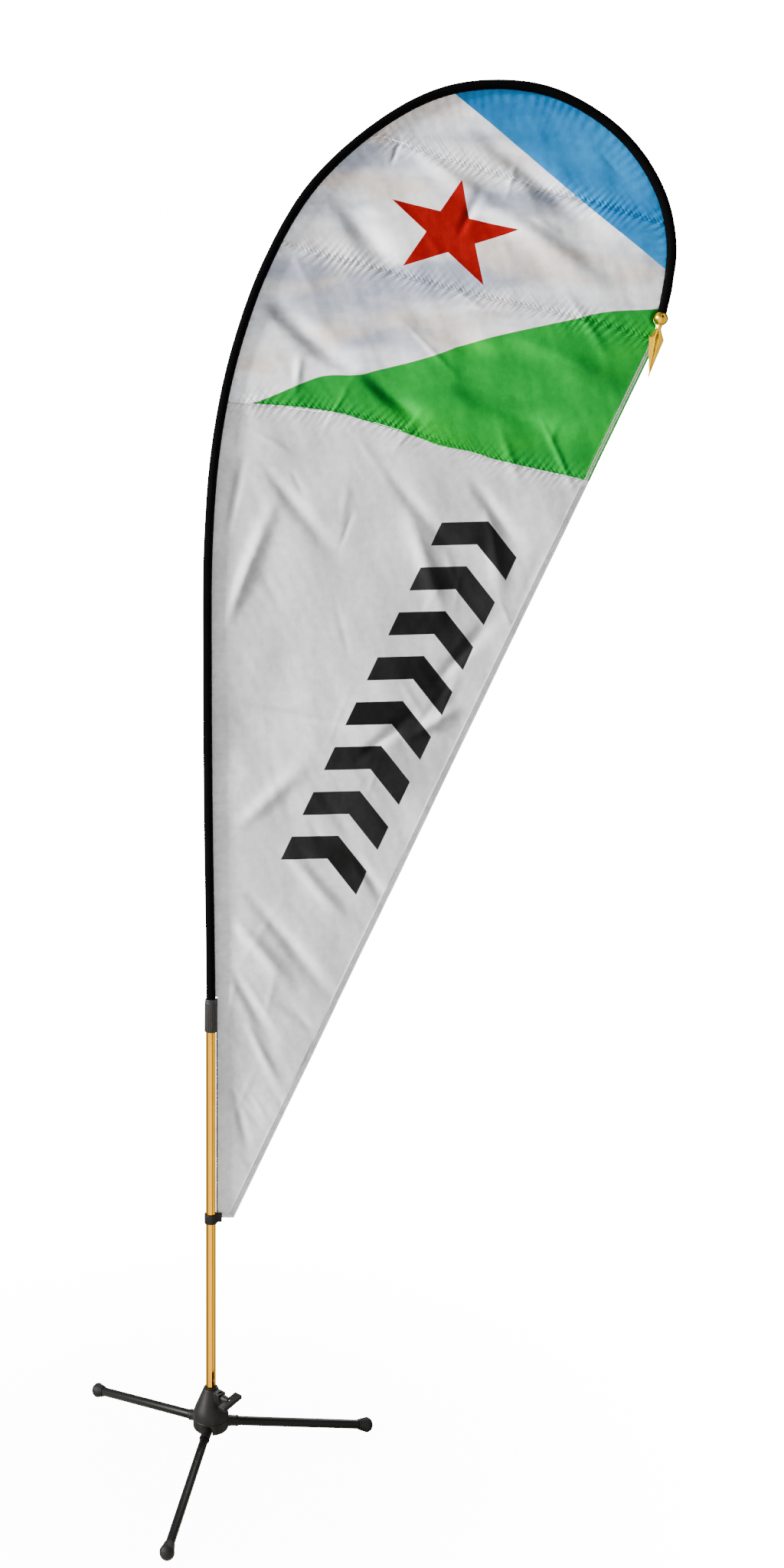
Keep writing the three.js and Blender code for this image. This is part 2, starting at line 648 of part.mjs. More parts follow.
const clothFront = clothPlane - clothThickness / 2;
const sleeveToCloth = Math.sqrt(sleeveRadius ** 2 - clothFront ** 2) + turnGap;
const ballCentre = bow.getPointAt(1);
const spearAxis = bow.getTangentAt(1);

// A point near the finial: so far along its axis, and so far to the flag's free side.
function besideSpear(along, aside) {
  return [ballCentre.x + spearAxis.x * along - spearAxis.z * aside,
    ballCentre.z + spearAxis.z * along + spearAxis.x * aside];
}

const leechTop = besideSpear(shoulderReach + 2, 6);
const leechBottom = [flagBottomWidth, flagBottom];
const leechAngle = Math.atan2(leechTop[0] - leechBottom[0], leechTop[1] - leechBottom[1]);

function insideLeech(point, distance) {
  return [point[0] - Math.cos(leechAngle) * distance, point[1] + Math.sin(leechAngle) * distance];
}

// The luff runs straight down just outside the collar, so that the mast can slide up past it.
const luffReach = Math.sqrt(collarRadius ** 2 - (clothPlane - tapeThickness / 2) ** 2) + turnGap;
const luffTop = [luffReach, collarTop];
const luffBottom = [luffReach, clipBottom + 2];

function makeCloth() {
  const inset = hemWidth + restGap;
  const alongBottom = flagBottomWidth - inset / Math.cos(leechAngle);
  const fromTape = tapeWidth + restGap;
  const sleeveSide = besideSleeve(sleeveToCloth);
  const corners = [
    [luffBottom[0] + fromTape, flagBottom],
    [alongBottom, flagBottom],
    insideLeech(leechTop, inset),
    besideSpear(shoulderReach - 15, -neckRadius - 1),
    besideSpear(0, -neckRadius - 1),
    ...sleeveSide.reverse().filter(([, z]) => z > sleeveBottom + 1),
    [sleeveToCloth + restGap, sleeveBottom],
    [luffTop[0] + fromTape, luffTop[1]],
  ];
  const round = ballRadius + turnGap;
  const ballRoom = rod(round, 0, 2 * clothPlane + round, 24).rotateX(-Math.PI / 2)
    .translate(ballCentre.x, 0, ballCentre.z);
  const screwHole = rod(clipScrewRadius + restGap, 0, 2 * clothPlane, 16).rotateX(-Math.PI / 2)
    .translate((poleRadius + clipWall + clipLugReach) / 2, 0, clipBottom + clipHeight * 0.7);
  return cut(plate(corners, clothPlane, clothThickness), ballRoom, screwHole);
}

// Seams that divide the cloth into four panels, as shares of the bow's reach and height.
const seams = [
  [[0.25, 0.985], [0.35, 0.948], [0.6, 0.905], [0.82, 0.873], [1.1, 0.827]],
  [[0.05, 0.855], [0.17, 0.824], [0.32, 0.804], [0.57, 0.77], [0.81, 0.742], [1.1, 0.7]],
  [[-0.1, 0.66], [0.04, 0.652], [0.3, 0.638], [0.6, 0.591], [0.82, 0.566], [1.1, 0.54]],
];

function makePanel(index) {
  const place = (seam, shift) => seam.map(([across, up]) => {
    const point = onFlag(across, up);
    return [point.x, point.z + shift];
  });
  const above = [[1.1, 1.1], [0.25, 1.1], [-0.1, 1.1]].map(([across, up]) => [across * bowReach, up * bowTop]);
  const below = [[1.1 * bowReach, 0], [-0.1 * bowReach, 0]];
  const top = index === 0 ? above : place(seams[index - 1], -restGap / 2).reverse();
  const bottom = index === seams.length ? below.reverse() : place(seams[index], restGap / 2);
  return common(makeCloth(), plate([...bottom, ...top], clothPlane, 4 * clothThickness));
}

function makeHem() {
  const alongBottom = flagBottomWidth - hemWidth / Math.cos(leechAngle);
  const corners = [[alongBottom, flagBottom], leechBottom, leechTop, insideLeech(leechTop, hemWidth)];
  return plate(corners, clothPlane, hemThickness);
}

function makeTape() {
  const corners = [luffBottom, [luffBottom[0] + tapeWidth, luffBottom[1]],
    [luffTop[0] + tapeWidth, luffTop[1]], luffTop];
  return plate(corners, clothPlane, tapeThickness);
}

function makeClip() {
  const bore = poleRadius + restGap;
  const outer = bore + clipWall;
  const [low, high] = [clipBottom, clipBottom + clipHeight];
  const band = turned([[bore, low], [outer - 0.8, low], [outer, low + 0.8], [outer, high - 0.8],
    [outer - 0.8, high], [bore, high]], 20);
  const half = clipLugThickness / 2;
  const lug = block([bore + 1, clipLugReach], [clothPlane - half, clothPlane + half], [low, high]);
  const slotHalf = tapeThickness / 2 + restGap;
  const slot = block([poleRadius + restGap, clipLugReach + 1], [clothPlane - slotHalf, clothPlane + slotHalf],
    [low + 1.5, high + 1]);
  const x = (poleRadius + clipWall + clipLugReach) / 2;
  const z = clipBottom + clipHeight * 0.7;
  const screwHole = rod(clipScrewRadius + restGap, clothPlane - half + 1.2, clothPlane + half + 1, 16)
    .rotateX(-Math.PI / 2).translate(x, 0, z);
  return cut(join(band, lug), rod(bore, low - 1, high + 1, 24), slot, screwHole);
}

function makeClipScrew() {
  const half = clipLugThickness / 2;
  const head = clothPlane + half + restGap;
  const profile = [[0, clothPlane - half + 1.5], [clipScrewRadius, clothPlane - half + 1.5],
    [clipScrewRadius, head], [clipScrewHeadRadius, head], [clipScrewHeadRadius, head + clipScrewHeadHeight],
    [0, head + clipScrewHeadHeight]];
  const x = (poleRadius + clipWall + clipLugReach) / 2;
  return turned(profile, 16).rotateX(-Math.PI / 2).translate(x, 0, clipBottom + clipHeight * 0.7);
}

function addFlag() {
  const panels = [['panel_top', blueCloth], ['panel_upper', whiteCloth], ['panel_middle', greenCloth],
    ['panel_lower', greyCloth]];
  panels.forEach(([name, cloth], index) => add(name, makePanel(index), cloth));
  add('leech_hem', makeHem(), greyCloth);
  add('luff_tape', makeTape(), blackCloth);
  add('corner_clip', makeClip(), blackPlastic);
  add('corner_clip_screw', makeClipScrew(), zincSteel);
}

addHub();
addLegs();
addClamp();
addPole();
add('twist_collar', makeCollar(), blackPlastic);
addMast();
addFinial();
addFlag();

export default group;
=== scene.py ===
# The looks of a teardrop flag on a folding stand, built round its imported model, in metres.
import json
import math
import random
import bpy
import bmesh
import numpy as np
from mathutils import Matrix, Vector, geometry, kdtree, noise


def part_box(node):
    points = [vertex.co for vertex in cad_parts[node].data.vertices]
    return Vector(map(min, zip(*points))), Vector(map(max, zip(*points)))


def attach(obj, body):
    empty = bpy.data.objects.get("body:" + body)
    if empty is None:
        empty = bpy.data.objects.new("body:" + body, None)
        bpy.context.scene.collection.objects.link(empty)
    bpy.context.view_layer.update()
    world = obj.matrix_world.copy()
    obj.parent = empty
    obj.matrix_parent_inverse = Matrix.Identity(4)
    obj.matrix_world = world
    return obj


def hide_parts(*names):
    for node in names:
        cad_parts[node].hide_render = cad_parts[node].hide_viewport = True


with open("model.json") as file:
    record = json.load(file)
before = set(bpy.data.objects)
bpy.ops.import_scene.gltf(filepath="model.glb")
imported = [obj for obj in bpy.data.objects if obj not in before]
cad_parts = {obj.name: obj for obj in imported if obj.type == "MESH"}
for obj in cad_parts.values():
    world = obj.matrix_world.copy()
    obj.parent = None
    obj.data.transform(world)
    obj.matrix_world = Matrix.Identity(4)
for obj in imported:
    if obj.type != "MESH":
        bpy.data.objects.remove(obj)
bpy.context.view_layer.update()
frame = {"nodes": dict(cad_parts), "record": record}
mm = 0.001
joints = {joint["name"]: joint for joint in frame["record"]["behaviour"]["joints"]}
print("frame loaded")

# Camera, light and floor
studio = {
    "cameraPlace": (0, -3.371, 1.910), "lens": 35.553, "shift": (0.1155, -0.1304),
    "floorRadius": 40, "floorTone": 0.9, "skyTone": 18, "skyLight": 0.3,
    # Lamps: place, width, height, power, colour
    "lamps": [((-8.9, -2.7, 5.6), 1.6, 1.4, 3900, (1, 0.985, 0.96)),
              ((4.4, -6.4, 3.6), 4.5, 3.5, 170, (0.95, 0.97, 1)), ((2.6, 6.6, 5.4), 4.0, 3.0, 600, (1, 1, 1))],
    "lampAim": (0.35, 0, 1.7),
    # Cards that only polished metal sees: angle, width, tone
    "cards": [(24, 19, (0.003, 0.001, 0.0005)), (9, 9, (4.6, 4.4, 3.7)), (-84, 14, (0.2, 0.1, 0.03)),
              (-36, 70, (1.9, 1.8, 1.5)), (62, 50, (1.1, 1.05, 0.88))],
    "cardDistance": 4.4, "cardHeight": 4.6, "cardMiddle": 1.6,
    # What polished metal sees in place of the floor: angle, tone
    "bands": [(-180, 0.5), (-146, 1.1), (-120, 1.1), (-103, 0.2), (-82, 0.16), (-72, 1.3), (-30, 2.2), (0, 1.9),
              (6, 2.6), (9, 5), (14, 5), (17, 0.006), (33, 0.004), (36, 1.2), (92, 1.0), (104, 0.35), (180, 0.5)],
}


def node(tree, kind, inputs=(), **settings):
    made = tree.nodes.new("ShaderNode" + kind)
    for key, value in settings.items():
        setattr(made, key, value)
    for key, value in dict(inputs).items():
        if isinstance(value, bpy.types.NodeSocket):
            tree.links.new(value, made.inputs[key])
        else:
            made.inputs[key].default_value = value
    return made


def maths(tree, operation, first, second=0.0, third=0.0):
    return node(tree, "Math", {0: first, 1: second, 2: third}, operation=operation).outputs[0]


def remap(tree, value, fromLow, fromHigh, toLow=0.0, toHigh=1.0, way="LINEAR"):
    sizes = {"Value": value, "From Min": fromLow, "From Max": fromHigh, "To Min": toLow, "To Max": toHigh}
    return node(tree, "MapRange", sizes, interpolation_type=way).outputs[0]


def blendColour(tree, share, first, second):
    colours = [c if isinstance(c, bpy.types.NodeSocket) else (*c, 1) for c in (first, second)]
    return node(tree, "Mix", {0: share, 6: colours[0], 7: colours[1]}, data_type="RGBA").outputs[2]


def noisePattern(tree, place, scale, detail=3.0, stretch=(1, 1, 1), turn=0.0):
    mapped = node(tree, "Mapping", {"Vector": place, "Rotation": (0, math.radians(turn), 0), "Scale": stretch})
    return node(tree, "TexNoise", {"Vector": mapped.outputs[0], "Scale": scale, "Detail": detail}).outputs[0]


def newFinish(name):
    material = bpy.data.materials.new(name)
    material.use_nodes = True
    tree = material.node_tree
    return material, tree, tree.nodes["Principled BSDF"], node(tree, "TexCoord").outputs["Object"]


def clearSelection():
    if bpy.context.object and bpy.context.object.mode != "OBJECT":
        bpy.ops.object.mode_set(mode="OBJECT")
    bpy.ops.object.select_all(action="DESELECT")


def activate(piece):
    clearSelection()
    piece.select_set(True)
    bpy.context.view_layer.objects.active = piece


def makeStudio():
    clearSelection()
    scene = bpy.context.scene
    bpy.ops.object.camera_add(location=studio["cameraPlace"], rotation=(math.pi / 2, 0, 0))
    camera = bpy.context.object
    camera.data.lens = studio["lens"]
    camera.data.shift_x, camera.data.shift_y = studio["shift"]
    camera.data.clip_end = 200
    scene.camera = camera

    world = bpy.data.worlds.new("softSky")
    scene.world = world
    world.use_nodes = True
    sky = world.node_tree
    seen = node(sky, "LightPath").outputs["Is Camera Ray"]
    sky.links.new(remap(sky, seen, 0, 1, studio["skyLight"], studio["skyTone"]),
                  sky.nodes["Background"].inputs["Strength"])
    sky.nodes["Background"].inputs["Color"].default_value = (1, 1, 1, 1)

    for place, width, height, power, colour in studio["lamps"]:
        bpy.ops.object.light_add(type="AREA", location=place)
        lamp = bpy.context.object
        aim = Vector(studio["lampAim"]) - Vector(place)
        lamp.rotation_euler = aim.to_track_quat("-Z", "Y").to_euler()
        lamp.data.shape, lamp.data.size, lamp.data.size_y = "RECTANGLE", width, height
        lamp.data.energy, lamp.data.color = power, colour

    bpy.ops.mesh.primitive_circle_add(vertices=96, radius=studio["floorRadius"], fill_type="NGON",
                                      location=(0, 0, -0.0003))
    floor = bpy.context.object
    floor.name = "studioFloor"
    material, tree, shader, place = newFinish("paleFloor")
    shader.inputs["Base Color"].default_value = (studio["floorTone"],) * 3 + (1,)
    shader.inputs["Roughness"].default_value = 0.7
    far = node(tree, "VectorMath", {0: place}, operation="LENGTH").outputs["Value"]
    share = maths(tree, "MULTIPLY", remap(tree, far, 0.15, 1.7, 0.72, 1, "SMOOTHSTEP"),
                  node(tree, "LightPath").outputs["Is Camera Ray"])
    glow = node(tree, "Emission", {"Strength": studio["skyTone"]}).outputs[0]
    mixed = node(tree, "MixShader", {0: share, 1: shader.outputs[0], 2: glow}).outputs[0]
    apart = node(tree, "SeparateXYZ", {0: place}).outputs
    angle = maths(tree, "ARCTAN2", apart[0], maths(tree, "MULTIPLY", apart[1], -1))
    ramp = node(tree, "ValToRGB", {0: remap(tree, angle, -math.pi, math.pi)})
    stops = ramp.color_ramp.elements
    for i, (degrees, tone) in enumerate(studio["bands"]):
        share = (degrees + 180) / 360
        stop = stops[0] if i == 0 else (stops[-1] if i == len(studio["bands"]) - 1 else stops.new(share))
        stop.position, stop.color = share, (tone, tone * 0.96, tone * 0.8, 1)
    bands = node(tree, "Emission", {"Color": ramp.outputs[0], "Strength": 1.0}).outputs[0]
    mirrored = node(tree, "LightPath").outputs["Is Glossy Ray"]
    mixed = node(tree, "MixShader", {0: mirrored, 1: mixed, 2: bands}).outputs[0]
    tree.links.new(mixed, tree.nodes["Material Output"].inputs["Surface"])
    floor.data.materials.append(material)

    cards = []
    for angle, width, tone in studio["cards"]:
        turn = math.radians(angle)
        away = Vector((math.sin(turn), -math.cos(turn), 0)) * studio["cardDistance"]
        bpy.ops.mesh.primitive_plane_add(size=1, location=away + Vector((0, 0, studio["cardMiddle"])),
                                         rotation=(math.pi / 2, 0, turn))
        card = bpy.context.object
        card.name = f"card_{len(cards) + 1}"
        card.scale = (math.radians(width) * studio["cardDistance"], studio["cardHeight"], 1)
        material, tree, shader, place = newFinish(card.name)
        shade = node(tree, "Emission", {"Color": (*tone, 1), "Strength": 1.0}).outputs[0]
        tree.links.new(shade, tree.nodes["Material Output"].inputs["Surface"])
        card.data.materials.append(material)
        card.visible_camera = card.visible_diffuse = card.visible_shadow = False
        cards.append(card)


makeStudio()
print("studio ready")

# Shop tools: turned, swept and cut shapes, all sizes in millimetres


def rounded(outline, radius, closed=False):
    count = len(outline)
    made = []
    for i, corner in enumerate(outline):
        here = Vector(corner)
        if not closed and i in (0, count - 1):
            made.append(tuple(here))
            continue
        back, ahead = Vector(outline[i - 1]) - here, Vector(outline[(i + 1) % count]) - here
        if min(back.length, ahead.length) < 1e-6 or abs(math.pi - back.angle(ahead)) < 0.3:
            made.append(tuple(here))
            continue
        reach = min(radius, back.length * 0.4, ahead.length * 0.4)
        start, end = here + back.normalized() * reach, here + ahead.normalized() * reach
        middle = here * 0.5 + (start + end) * 0.25
        made += [tuple(start), tuple(middle), tuple(end)]
    return made


def selectOnly(test):
    mesh = bmesh.from_edit_mesh(bpy.context.object.data)
    for part in (*mesh.verts, *mesh.edges, *mesh.faces):
        part.select = False
    for vert in mesh.verts:
        vert.select = bool(test(vert.co))
    mesh.select_flush_mode()
    bmesh.update_edit_mesh(bpy.context.object.data)


def turnedShape(name, outline, sides=64):
    clearSelection()
    closed = outline[0][0] > 0
    rings = [corner for corner in outline if corner[0] > 0]
    radius, height = rings[0]
    bpy.ops.mesh.primitive_circle_add(vertices=sides, radius=radius * mm, location=(0, 0, 0))
    piece = bpy.context.object
    piece.name = name
    bpy.ops.object.mode_set(mode="EDIT")
    bpy.ops.mesh.select_all(action="SELECT")
    bpy.ops.transform.translate(value=(0, 0, height * mm))
    start = (radius, height)
    for nextRadius, nextHeight in rings[1:] + (rings[:1] if closed else []):
        bpy.ops.mesh.extrude_edges_move(TRANSFORM_OT_translate={"value": (0, 0, (nextHeight - height) * mm)})
        scale = nextRadius / radius
        if abs(scale - 1) > 1e-7:
            bpy.ops.transform.resize(value=(scale, scale, 1), center_override=(0, 0, nextHeight * mm))
        radius, height = nextRadius, nextHeight
    if not closed:
        bpy.ops.mesh.extrude_edges_move(TRANSFORM_OT_translate={"value": (0, 0, (outline[-1][1] - height) * mm)})
        bpy.ops.mesh.merge(type="CENTER")
        bpy.ops.mesh.select_mode(type="VERT")
        selectOnly(lambda co: abs(co.z - start[1] * mm) < 1e-7 and abs(math.hypot(co.x, co.y) - start[0] * mm) < 1e-6)
        bpy.ops.mesh.extrude_edges_move(TRANSFORM_OT_translate={"value": (0, 0, (outline[0][1] - start[1]) * mm)})
        bpy.ops.mesh.merge(type="CENTER")
    bpy.ops.mesh.select_all(action="SELECT")
    bpy.ops.mesh.remove_doubles(threshold=1e-6)
    bpy.ops.mesh.normals_make_consistent(inside=False)
    bpy.ops.object.mode_set(mode="OBJECT")
    return piece


def boxShape(name, low, high, bevel=0.0, segments=3):
    clearSelection()
    low, high = Vector(low) * mm, Vector(high) * mm
    bpy.ops.mesh.primitive_cube_add(size=1, location=(0, 0, 0))
    piece = bpy.context.object
    piece.name = name
    bpy.ops.object.mode_set(mode="EDIT")
    bpy.ops.mesh.select_all(action="SELECT")
    bpy.ops.transform.resize(value=high - low)
    bpy.ops.transform.translate(value=(low + high) / 2)
    if bevel:
        bpy.ops.mesh.bevel(offset=bevel * mm, segments=segments, profile=0.5, affect="EDGES")
    bpy.ops.object.mode_set(mode="OBJECT")
    return piece


def rodShape(name, radius, low, high, axis="Z", sides=48):
    piece = turnedShape(name, [(0, low), (radius, low), (radius, high), (0, high)], sides)
    turns = {"X": Matrix.Rotation(math.pi / 2, 4, "Y"), "Y": Matrix.Rotation(-math.pi / 2, 4, "X")}
    return moved(piece, turns[axis]) if axis in turns else piece


def turnFacesOut():
    bpy.ops.object.mode_set(mode="EDIT")
    bpy.ops.mesh.select_all(action="SELECT")
    bpy.ops.mesh.normals_make_consistent(inside=False)
    bpy.ops.object.mode_set(mode="OBJECT")


def codedShape(name, verts, faces, turnOut=True):
    mesh = bpy.data.meshes.new(name)
    mesh.from_pydata(verts, [], faces)
    piece = bpy.data.objects.new(name, mesh)
    bpy.context.collection.objects.link(piece)
    activate(piece)
    if turnOut:
        turnFacesOut()
    return piece


def skinFaces(rings, sides, first=0):
    # Faces between neighbouring rings of points, counted from the first point
    return [(first + ring * sides + k, first + ring * sides + (k + 1) % sides,
             first + (ring + 1) * sides + (k + 1) % sides, first + (ring + 1) * sides + k)
            for ring in range(rings - 1) for k in range(sides)]


def storeValues(piece, label, values):
    stored = piece.data.attributes.new(label, "FLOAT", "POINT")
    stored.data.foreach_set("value", np.asarray(values, dtype=np.float32))


def moved(piece, matrix):
    activate(piece)
    piece.matrix_world = matrix
    bpy.ops.object.transform_apply(location=True, rotation=True, scale=True)
    return piece


def combined(piece, tools, operation):
    for tool in tools:
        activate(piece)
        modifier = piece.modifiers.new("shape", "BOOLEAN")
        modifier.operation, modifier.object, modifier.solver = operation, tool, "MANIFOLD"
        bpy.ops.object.modifier_apply(modifier=modifier.name)
        bpy.data.objects.remove(tool, do_unlink=True)
    return piece


def cutAway(piece, *tools):
    return combined(piece, tools, "DIFFERENCE")


def joinOn(piece, *tools):
    return combined(piece, tools, "UNION")


def softenEdges(piece, width, segments=2, angle=40):
    activate(piece)
    modifier = piece.modifiers.new("soften", "BEVEL")
    modifier.width, modifier.segments = width * mm, segments
    modifier.limit_method, modifier.angle_limit = "ANGLE", math.radians(angle)
    modifier.use_clamp_overlap = True
    modifier.harden_normals = False
    bpy.ops.object.modifier_apply(modifier=modifier.name)
    return piece


def copyOf(piece, name):
    twin = piece.copy()
    twin.data = piece.data.copy()
    twin.name = twin.data.name = name
    bpy.context.collection.objects.link(twin)
    return twin


def fitPiece(piece, body, finish, nodes=(), smooth=35):
    activate(piece)
    if smooth:
        bpy.ops.object.shade_smooth_by_angle(angle=math.radians(smooth))
    piece.data.materials.clear()
    piece.data.materials.append(finish)
    piece.data.name = piece.name
    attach(piece, body)
    if nodes:
        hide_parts(*nodes)
    return piece


# Finishes
def plasticFinish(name, look):
    material, tree, shader, place = newFinish(name)
    cloud = noisePattern(tree, place, look["cloud"], 5)
    grain = noisePattern(tree, place, look["grain"], 2)
    rub = noisePattern(tree, place, look["cloud"] * 2.6, 6, (1, 1, 2.4))
    shade = blendColour(tree, remap(tree, cloud, 0.35, 0.7), look["dark"], look["light"])
    worn = blendColour(tree, remap(tree, rub, 0.62, 0.78, 0, look["wear"]), shade, look["rubbed"])
    tree.links.new(worn, shader.inputs["Base Color"])
    rough = maths(tree, "ADD", remap(tree, cloud, 0.3, 0.7, look["rough"][0], look["rough"][1]),
                  remap(tree, rub, 0.5, 0.8, 0.0, -0.06))
    tree.links.new(rough, shader.inputs["Roughness"])
    height = maths(tree, "MULTIPLY_ADD", cloud, 0.35, grain)
    bump = node(tree, "Bump", {"Height": height, "Distance": look["bump"] * mm, "Strength": 1.0})
    tree.links.new(bump.outputs[0], shader.inputs["Normal"])
    shader.inputs["Specular IOR Level"].default_value = look["gloss"]
    return material


def metalFinish(name, look):
    material, tree, shader, place = newFinish(name)
    cloud = noisePattern(tree, place, look["cloud"], 4)
    lines = noisePattern(tree, place, look["lines"], 3, look["along"])
    tree.links.new(blendColour(tree, remap(tree, cloud, 0.3, 0.7), look["dark"], look["light"]),
                   shader.inputs["Base Color"])
    rough = maths(tree, "ADD", remap(tree, cloud, 0.3, 0.7, look["rough"][0], look["rough"][1]),
                  remap(tree, lines, 0.3, 0.7, -0.03, 0.03))
    tree.links.new(rough, shader.inputs["Roughness"])
    bump = node(tree, "Bump", {"Height": lines, "Distance": look["bump"] * mm, "Strength": 1.0})
    tree.links.new(bump.outputs[0], shader.inputs["Normal"])
    shader.inputs["Metallic"].default_value = 1.0
    return material


def wovenFinish(name, look):
    # Black pocket cloth: a fine diagonal rib with lint-like shade changes
    material, tree, shader, place = newFinish(name)
    cloud = noisePattern(tree, place, 30, 5)
    rib = node(tree, "TexWave", {"Vector": place, "Scale": look["rib"], "Distortion": 1.5, "Detail": 1.0,
                                 "Detail Scale": 2.0}, bands_direction="DIAGONAL").outputs[1]
    fuzz = noisePattern(tree, place, 1400, 2)
    tree.links.new(blendColour(tree, remap(tree, cloud, 0.35, 0.75), look["dark"], look["light"]),
                   shader.inputs["Base Color"])
    tree.links.new(remap(tree, fuzz, 0.3, 0.7, 0.78, 0.95), shader.inputs["Roughness"])
    height = maths(tree, "MULTIPLY_ADD", rib, 0.6, fuzz)
    bump = node(tree, "Bump", {"Height": height, "Distance": look["bump"] * mm, "Strength": 1.0})
    tree.links.new(bump.outputs[0], shader.inputs["Normal"])
    shader.inputs["Specular IOR Level"].default_value = 0.03
    return material


satinPlastic = plasticFinish("satinPlastic", {
    "cloud": 22, "grain": 1100, "dark": (0.003, 0.003, 0.0033), "light": (0.0048, 0.0048, 0.005),
    "rubbed": (0.01, 0.01, 0.01), "wear": 0.5, "rough": (0.46, 0.58), "bump": 0.012, "gloss": 0.2})
ribbedPlastic = plasticFinish("ribbedPlastic", {
    "cloud": 40, "grain": 1100, "dark": (0.009, 0.009, 0.0095), "light": (0.014, 0.014, 0.0145),
    "rubbed": (0.026, 0.026, 0.026), "wear": 0.5, "rough": (0.45, 0.58), "bump": 0.012, "gloss": 0.3})
powderCoat = plasticFinish("powderCoat", {
    "cloud": 14, "grain": 800, "dark": (0.0022, 0.0022, 0.0024), "light": (0.0036, 0.0036, 0.0038),
    "rubbed": (0.008, 0.008, 0.008), "wear": 0.35, "rough": (0.42, 0.5), "bump": 0.01, "gloss": 0.2})
footRubber = plasticFinish("footRubber", {
    "cloud": 35, "grain": 900, "dark": (0.0035, 0.0035, 0.0035), "light": (0.006, 0.006, 0.006),
    "rubbed": (0.014, 0.0135, 0.013), "wear": 0.6, "rough": (0.6, 0.75), "bump": 0.03, "gloss": 0.2})
goldTube = metalFinish("goldTube", {
    "cloud": 9, "lines": 900, "along": (1, 1, 0.01), "dark": (0.9, 0.4, 0.006), "light": (0.96, 0.47, 0.012),
    "rough": (0.07, 0.12), "bump": 0.0008})
goldCast = metalFinish("goldCast", {
    "cloud": 60, "lines": 500, "along": (1, 1, 1), "dark": (0.78, 0.42, 0.012), "light": (0.88, 0.52, 0.03),
    "rough": (0.2, 0.28), "bump": 0.008})
zincPlate = metalFinish("zincPlate", {
    "cloud": 120, "lines": 1500, "along": (1, 1, 0.2), "dark": (0.42, 0.43, 0.45), "light": (0.6, 0.6, 0.62),
    "rough": (0.28, 0.42), "bump": 0.02})
darkTube = metalFinish("darkTube", {
    "cloud": 20, "lines": 1100, "along": (1, 1, 0.02), "dark": (0.05, 0.05, 0.055), "light": (0.075, 0.075, 0.08),
    "rough": (0.32, 0.42), "bump": 0.01})
glassFibre = plasticFinish("glassFibre", {
    "cloud": 60, "grain": 700, "dark": (0.016, 0.016, 0.017), "light": (0.03, 0.03, 0.032),
    "rubbed": (0.05, 0.05, 0.05), "wear": 0.3, "rough": (0.25, 0.38), "bump": 0.03, "gloss": 0.5})
blackPocket = wovenFinish("blackPocket", {
    "rib": 420, "dark": (0.0005, 0.0005, 0.0006), "light": (0.0011, 0.0011, 0.0012), "bump": 0.06})
print("finishes mixed")

# Hub: cone housing, lower ring, bush
hub = {
    "radius": 39, "top": 152, "foot": 88.8, "wall": 2.6, "bore": 12.95, "core": 15.65,
    "ringBottom": 64, "ringTop": 88.5, "ringCorner": 8, "screwCircle": 27, "pinRadius": 3.3, "slot": 11.9,
    "clampHeight": 140, "bossReach": 34, "bossWidth": 22, "bossDepth": 20, "nutReach": 28, "nutHalf": 3.4,
    "nutAcross": 6.8, "legSlope": 10.4,
}
legPlaces = []
for number in (1, 2, 3):
    pin = Vector(joints[f"leg_fold_{number}"]["pos_m"])
    legPlaces.append(Matrix.Translation(pin) @ Matrix.Rotation(math.atan2(pin.y, pin.x), 4, "Z"))
boltAxis = Vector(joints["wing_bolt_turn"]["axis"])
boltTurn = math.atan2(boltAxis.y, boltAxis.x)
boltPlace = Matrix.Translation((0, 0, hub["clampHeight"] * mm)) @ Matrix.Rotation(boltTurn, 4, "Z")
pivotRadius = Vector(joints["leg_fold_1"]["pos_m"]).xy.length / mm
pivotHeight = joints["leg_fold_1"]["pos_m"][2] / mm


def besideLeg(place):
    return Matrix.Rotation(place.to_euler().z, 4, "Z")


def makeHousing():
    foot, top, wall = hub["foot"], hub["top"], hub["wall"]
    outline = [(hub["radius"] - 0.5, foot), (hub["radius"], foot + 0.6), (38.7, 93), (38.3, 97), (37.4, 101.5),
               (35.9, 106.5), (33.6, 112), (30.4, 119), (24.8, 131.5), (18.2, 146), (16.9, 149.3), (16.4, 150.6),
               (15.3, 151.8), (14.6, top), (hub["bore"] + 0.4, top), (hub["bore"], top - 0.4), (hub["bore"], foot),
               (hub["core"], foot), (hub["core"], 140), (19, 140), (33, 107), (36.2, 96), (36.4, foot)]
    housing = turnedShape("hub_shell", outline, 96)
    deep, half, reach = hub["bossDepth"] / 2, hub["bossWidth"] / 2, hub["bossReach"]
    boss = boxShape("boss", (hub["bore"] + 1.6, -half, -deep), (reach, half, deep), 1.6, 3)
    rib = boxShape("rib", (reach - 4, -half - 0.8, -deep - 0.8), (reach - 1.2, half + 0.8, deep - 2.5), 0.9, 2)
    joinOn(housing, moved(boss, boltPlace), moved(rib, boltPlace))
    tools = [rodShape("boltHole", 4.3, 10, 40, "X"), rodShape("padHole", 6.3, 8, 21.4, "X")]
    reach, across = hub["nutHalf"], hub["nutAcross"]
    tools.append(boxShape("nutWay", (hub["nutReach"] - reach, -across, -7.8), (hub["nutReach"] + reach, across, 14)))
    cutAway(housing, *[moved(tool, boltPlace) for tool in tools])
    softenEdges(housing, 0.35, 2, 50)
    return fitPiece(housing, "base", satinPlastic, ["hub_housing"])


